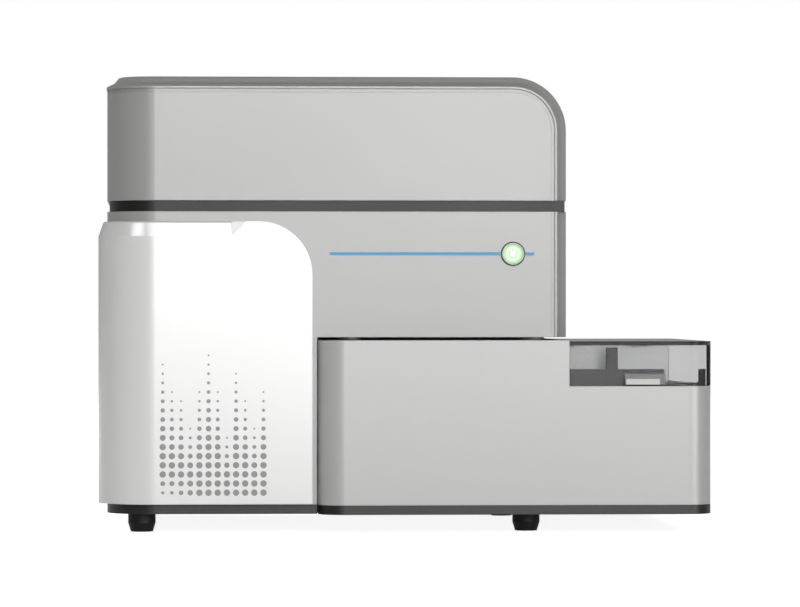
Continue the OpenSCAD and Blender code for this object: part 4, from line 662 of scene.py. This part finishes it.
def buildStripe():
    # two lengths, one each side of the button's bezel
    left, bottom = stripe["from"]
    right, top = stripe["to"]
    bm = bmesh.new()
    for x0, x1 in ((left, stripe["bezelLeft"]), (stripe["bezelRight"], right)):
        addBlock(bm, Vector((x0, stripe["faceY"] - stripe["proud"], bottom)) * mm,
                 Vector((x1, stripe["faceY"] + stripe["sink"], top)) * mm, stripe["soften"] * mm)
    finishPiece(bm, "accentStripe", newFinish("stripeBlue", stripeLook), "chassis")
    print("stripe done")


# dots fade in over the lowest rows and shrink again above part of each column
doorDots = {"left": -243.6, "pitch": 9.17, "bottom": 40.9, "faceY": -207.0, "rise": 0.28,
            "heights": [15, 12, 11, 8, 12, 16, 12, 7, 14, 11, 8, 12],
            "bottomRadii": [1.6, 1.8, 2.3, 2.8], "fullRadius": 3.3, "topRadius": 1.0,
            "swellRows": 2.0, "fadeFrom": 0.35}
dotLook = {"colour": (0.34, 0.34, 0.335, 1), "rough": 0.35, "specular": 0.5, "grainScale": 1500.0,
           "bump": 0.05, "mottle": 0.02, "edge": 0.0002, "wear": 0.0}


def dotRadius(column, along, row):
    full = doorDots["fullRadius"]
    radii = doorDots["bottomRadii"]
    base = radii[column] if column < len(radii) else full
    radius = base + (full - base) * min(1.0, row / doorDots["swellRows"])
    fade = max(0.0, (along - doorDots["fadeFrom"]) / (1 - doorDots["fadeFrom"]))
    return radius + (doorDots["topRadius"] - radius) * fade


def buildDoorDots():
    bm = bmesh.new()
    for column, count in enumerate(doorDots["heights"]):
        for row in range(count):
            place = Vector((doorDots["left"] + column * doorDots["pitch"], doorDots["faceY"],
                            doorDots["bottom"] + row * doorDots["pitch"])) * mm
            radius = dotRadius(column, row / (count - 1), row)
            addDisc(bm, place, (0, -1, 0), radius * mm, doorDots["rise"] * mm)
    finishPiece(bm, "doorDots", newFinish("dotGrey", dotLook), "door")
    print("door dots done")


button = {"x": 108.8, "z": 280.5, "faceY": -200.2, "discRadius": 7.4, "discRise": 0.18, "markRise": 0.288,
          "markRing": 4.0, "markWall": 1.3, "markGap": 38, "barWidth": 1.5, "barTop": 5.2, "barBottom": 2.9,
          "sink": 0.1}


def addFlatArc(bm, place, axis, outer, inner, rise, sink, startDeg, sweepDeg, segments=40):
    # a band in the plane of a face: one strip spun about the axis
    spot = Matrix.Translation(place) @ facing(axis)
    turn = Matrix.Rotation(math.radians(startDeg), 4, "Z")
    corners = [(inner, -sink), (outer, -sink), (outer, rise), (inner, rise)]
    verts = [bm.verts.new(spot @ turn @ Vector((reach, 0, up))) for reach, up in corners]
    face = bm.faces.new(verts)
    bmesh.ops.spin(bm, geom=[face] + list(face.edges) + verts, cent=spot.translation,
                   axis=spot.to_3x3() @ Vector((0, 0, 1)), angle=math.radians(sweepDeg), steps=segments)


def buildButtonMark():
    # a white disc, and on it the open ring and the bar of the power sign
    centre = Vector((button["x"], button["faceY"], button["z"])) * mm
    front = (0, -1, 0)
    bm = bmesh.new()
    addDisc(bm, centre, front, button["discRadius"] * mm, button["discRise"] * mm,
            segments=48, taper=0.98)
    finishPiece(bm, "buttonWhiteRing", finishes["buttonWhite"], "power_button")
    bm = bmesh.new()
    gap, half = button["markGap"], button["markWall"] / 2
    addFlatArc(bm, centre, front, (button["markRing"] + half) * mm, (button["markRing"] - half) * mm,
               button["markRise"] * mm, button["sink"] * mm, 90 + gap, 360 - 2 * gap)
    addBlock(bm, centre + Vector((-button["barWidth"] / 2, -button["markRise"], button["barBottom"])) * mm,
             centre + Vector((button["barWidth"] / 2, button["sink"], button["barTop"])) * mm)
    finishPiece(bm, "buttonPowerMark", finishes["button_lit"], "power_button")
    print("button mark done")


# a domed head with a hexagon socket; the profile gives reach and rise as shares of radius and height
screwHead = {"segments": 24, "profile": [(1.0, 0.25), (0.93, 0.6), (0.78, 0.9), (0.55, 1.0)],
             "socketReach": 0.42, "socketDepth": 0.6}


def addButtonScrew(bm, place, axis, radius, height):
    spot = Matrix.Translation(place) @ facing(axis)
    inverse = spot.inverted()
    up = spot.to_3x3() @ Vector((0, 0, 1))
    ring = bmesh.ops.create_circle(bm, cap_ends=False, segments=screwHead["segments"], radius=radius,
                                   matrix=spot)["verts"]
    loop = edgesAt(ring)
    lastReach, lastRise = 1.0, 0.0
    for reach, rise in screwHead["profile"]:
        verts, loop = growLoop(bm, loop)
        step = reach / lastReach
        bmesh.ops.transform(bm, matrix=Matrix.Diagonal((step, step, 1, 1)), space=inverse, verts=verts)
        bmesh.ops.translate(bm, vec=up * (rise - lastRise) * height, verts=verts)
        lastReach, lastRise = reach, rise
    # the socket's sides: pull the ring to a hexagon, then sink it
    verts, loop = growLoop(bm, loop)
    for v in verts:
        local = inverse @ v.co
        turn = math.atan2(local.y, local.x) % math.radians(60) - math.radians(30)
        reach = screwHead["socketReach"] * radius / math.cos(turn)
        flat = Vector((local.x, local.y, 0)).normalized() * reach
        v.co = spot @ Vector((flat.x, flat.y, local.z))
    verts, loop = growLoop(bm, loop)
    bmesh.ops.translate(bm, vec=-up * screwHead["socketDepth"] * height, verts=verts)
    bmesh.ops.contextual_create(bm, geom=loop)
    bmesh.ops.contextual_create(bm, geom=[e for e in edgesAt(ring) if e.is_boundary])


# heads and places in millimetres; the lists are (x, z) on the back and on the hood's back
screws = {"headRadius": 3.4, "headHeight": 1.5, "smallRadius": 2.7, "smallHeight": 1.2,
          "rearY": 215.0, "leafY": 217.0,
          "rearPanel": [(-288, 44), (-288, 200), (-288, 304), (-110, 216), (-60, 304), (150, 208),
                        (150, 304)],
          "cowl": [(-76, 42), (-76, 178), (110, 42), (110, 178), (296, 42), (296, 178)],
          "hoodRear": [(-288, 346), (-288, 447), (-70, 447), (141, 436), (150, 346)],
          "fanCentre": (-154.5, 158.5), "fanHalf": 35.7,
          "hingeX": (-204.5, 68.5), "hingeSteps": (-21, 0, 21), "fixedLeafZ": 304, "movingLeafZ": 353,
          "bracketX": -301.5, "bracketY": -57, "bracketZ": (74, 238), "bracketSteps": (-6, 20),
          "footX": (-250.4, -138.6), "footY": (-8, -78), "footSteps": (-11, 11), "footZ": 318.0}
screwLook = {"colour": (0.42, 0.43, 0.45, 1), "rough": 0.33, "metallic": 1.0, "grainScale": 2400.0,
             "bump": 0.08, "mottle": 0.1, "edge": 0.0002, "wear": 0.6, "wornColour": grey(0.75)}
blackScrewLook = {"colour": grey(0.03), "rough": 0.32, "metallic": 0.6, "grainScale": 2400.0, "bump": 0.1,
                  "mottle": 0.1, "edge": 0.0002, "wear": 0.6, "wornColour": grey(0.3)}


def buildScrews(name, places, axis, finish, body, small=False):
    bm = bmesh.new()
    radius = screws["smallRadius" if small else "headRadius"] * mm
    height = screws["smallHeight" if small else "headHeight"] * mm
    for place in places:
        addButtonScrew(bm, Vector(place) * mm, axis, radius, height)
    finishPiece(bm, name, finish, body, sharp=30)


def buildFasteners():
    steel = newFinish("screwSteel", screwLook)
    black = newFinish("screwBlack", blackScrewLook)
    left, back, up = (-1, 0, 0), (0, 1, 0), (0, 0, 1)
    for name, key in (("rearPanelScrews", "rearPanel"), ("cowlScrews", "cowl")):
        buildScrews(name, [(x, screws["rearY"], z) for x, z in screws[key]],
                    back, steel, "chassis")
    fanX, fanZ = screws["fanCentre"]
    offsets = (-screws["fanHalf"], screws["fanHalf"])
    buildScrews("fanScrews", [(fanX + dx, screws["rearY"], fanZ + dz) for dx in offsets for dz in offsets],
                back, black, "chassis")
    buildScrews("hoodRearScrews", [(x, screws["rearY"], z) for x, z in screws["hoodRear"]],
                back, steel, "hood")
    for name, z, body in (("hingeScrewsFixed", screws["fixedLeafZ"], "chassis"),
                          ("hingeScrewsMoving", screws["movingLeafZ"], "hood")):
        buildScrews(name, [(x + dx, screws["leafY"], z)
                           for x in screws["hingeX"] for dx in screws["hingeSteps"]],
                    back, black, body, True)
    buildScrews("bracketScrews", [(screws["bracketX"], screws["bracketY"], z + dz)
                                  for z in screws["bracketZ"] for dz in screws["bracketSteps"]],
                left, black, "chassis", True)
    buildScrews("laserScrews", [(x, y + dy, screws["footZ"]) for x in screws["footX"]
                                for y in screws["footY"] for dy in screws["footSteps"]],
                up, black, "chassis", True)
    print("fasteners done")


samples = {"x": [200.5, 222.5, 244.5, 266.5], "y": [-161, -139, -117, -95, -73, -51], "bottom": 70.0,
           "coneTop": 82.5, "tipRadius": 1.2, "radius": 4.25, "levels": [92, 94, 90, 93, 88, 91]}
sampleLook = {"colour": (0.62, 0.2, 0.16, 1), "rough": 0.12, "specular": 0.5, "grainScale": 500.0,
              "bump": 0.02, "mottle": 0.05, "edge": 0.0003, "wear": 0.0, "dust": 0.0}
bufferLook = dict(sampleLook, colour=(0.75, 0.68, 0.4, 1))


def addSample(bm, x, y, top):
    # a column that follows the tube's cone and ends in a level top
    spot = Matrix.Translation(Vector((x, y, samples["bottom"])) * mm)
    tip = samples["tipRadius"]
    loop = edgesAt(bmesh.ops.create_circle(bm, cap_ends=True, segments=20, radius=tip * mm,
                                           matrix=spot)["verts"])
    for z, scale in ((samples["coneTop"], samples["radius"] / tip), (top, 1.0)):
        verts, loop = growLoop(bm, loop)
        rise = z * mm - verts[0].co.z
        bmesh.ops.transform(bm, matrix=Matrix.Diagonal((scale, scale, 1, 1)), space=spot.inverted(),
                            verts=verts)
        bmesh.ops.translate(bm, vec=(0, 0, rise), verts=verts)
    bmesh.ops.contextual_create(bm, geom=loop)


def buildSamples():
    levels = samples["levels"]
    for name, look, columns in (("bloodSamples", sampleLook, (0, 1)), ("bufferSamples", bufferLook, (2, 3))):
        bm = bmesh.new()
        for i in columns:
            for j, y in enumerate(samples["y"]):
                addSample(bm, samples["x"][i], y, levels[(i + j) % len(levels)])
        finishPiece(bm, name, newFinish(name, look), "carriage", sharp=40)
    print("samples done")


buildStripe()
buildDoorDots()
buildButtonMark()
buildFasteners()
buildSamples()

print("pieces done")
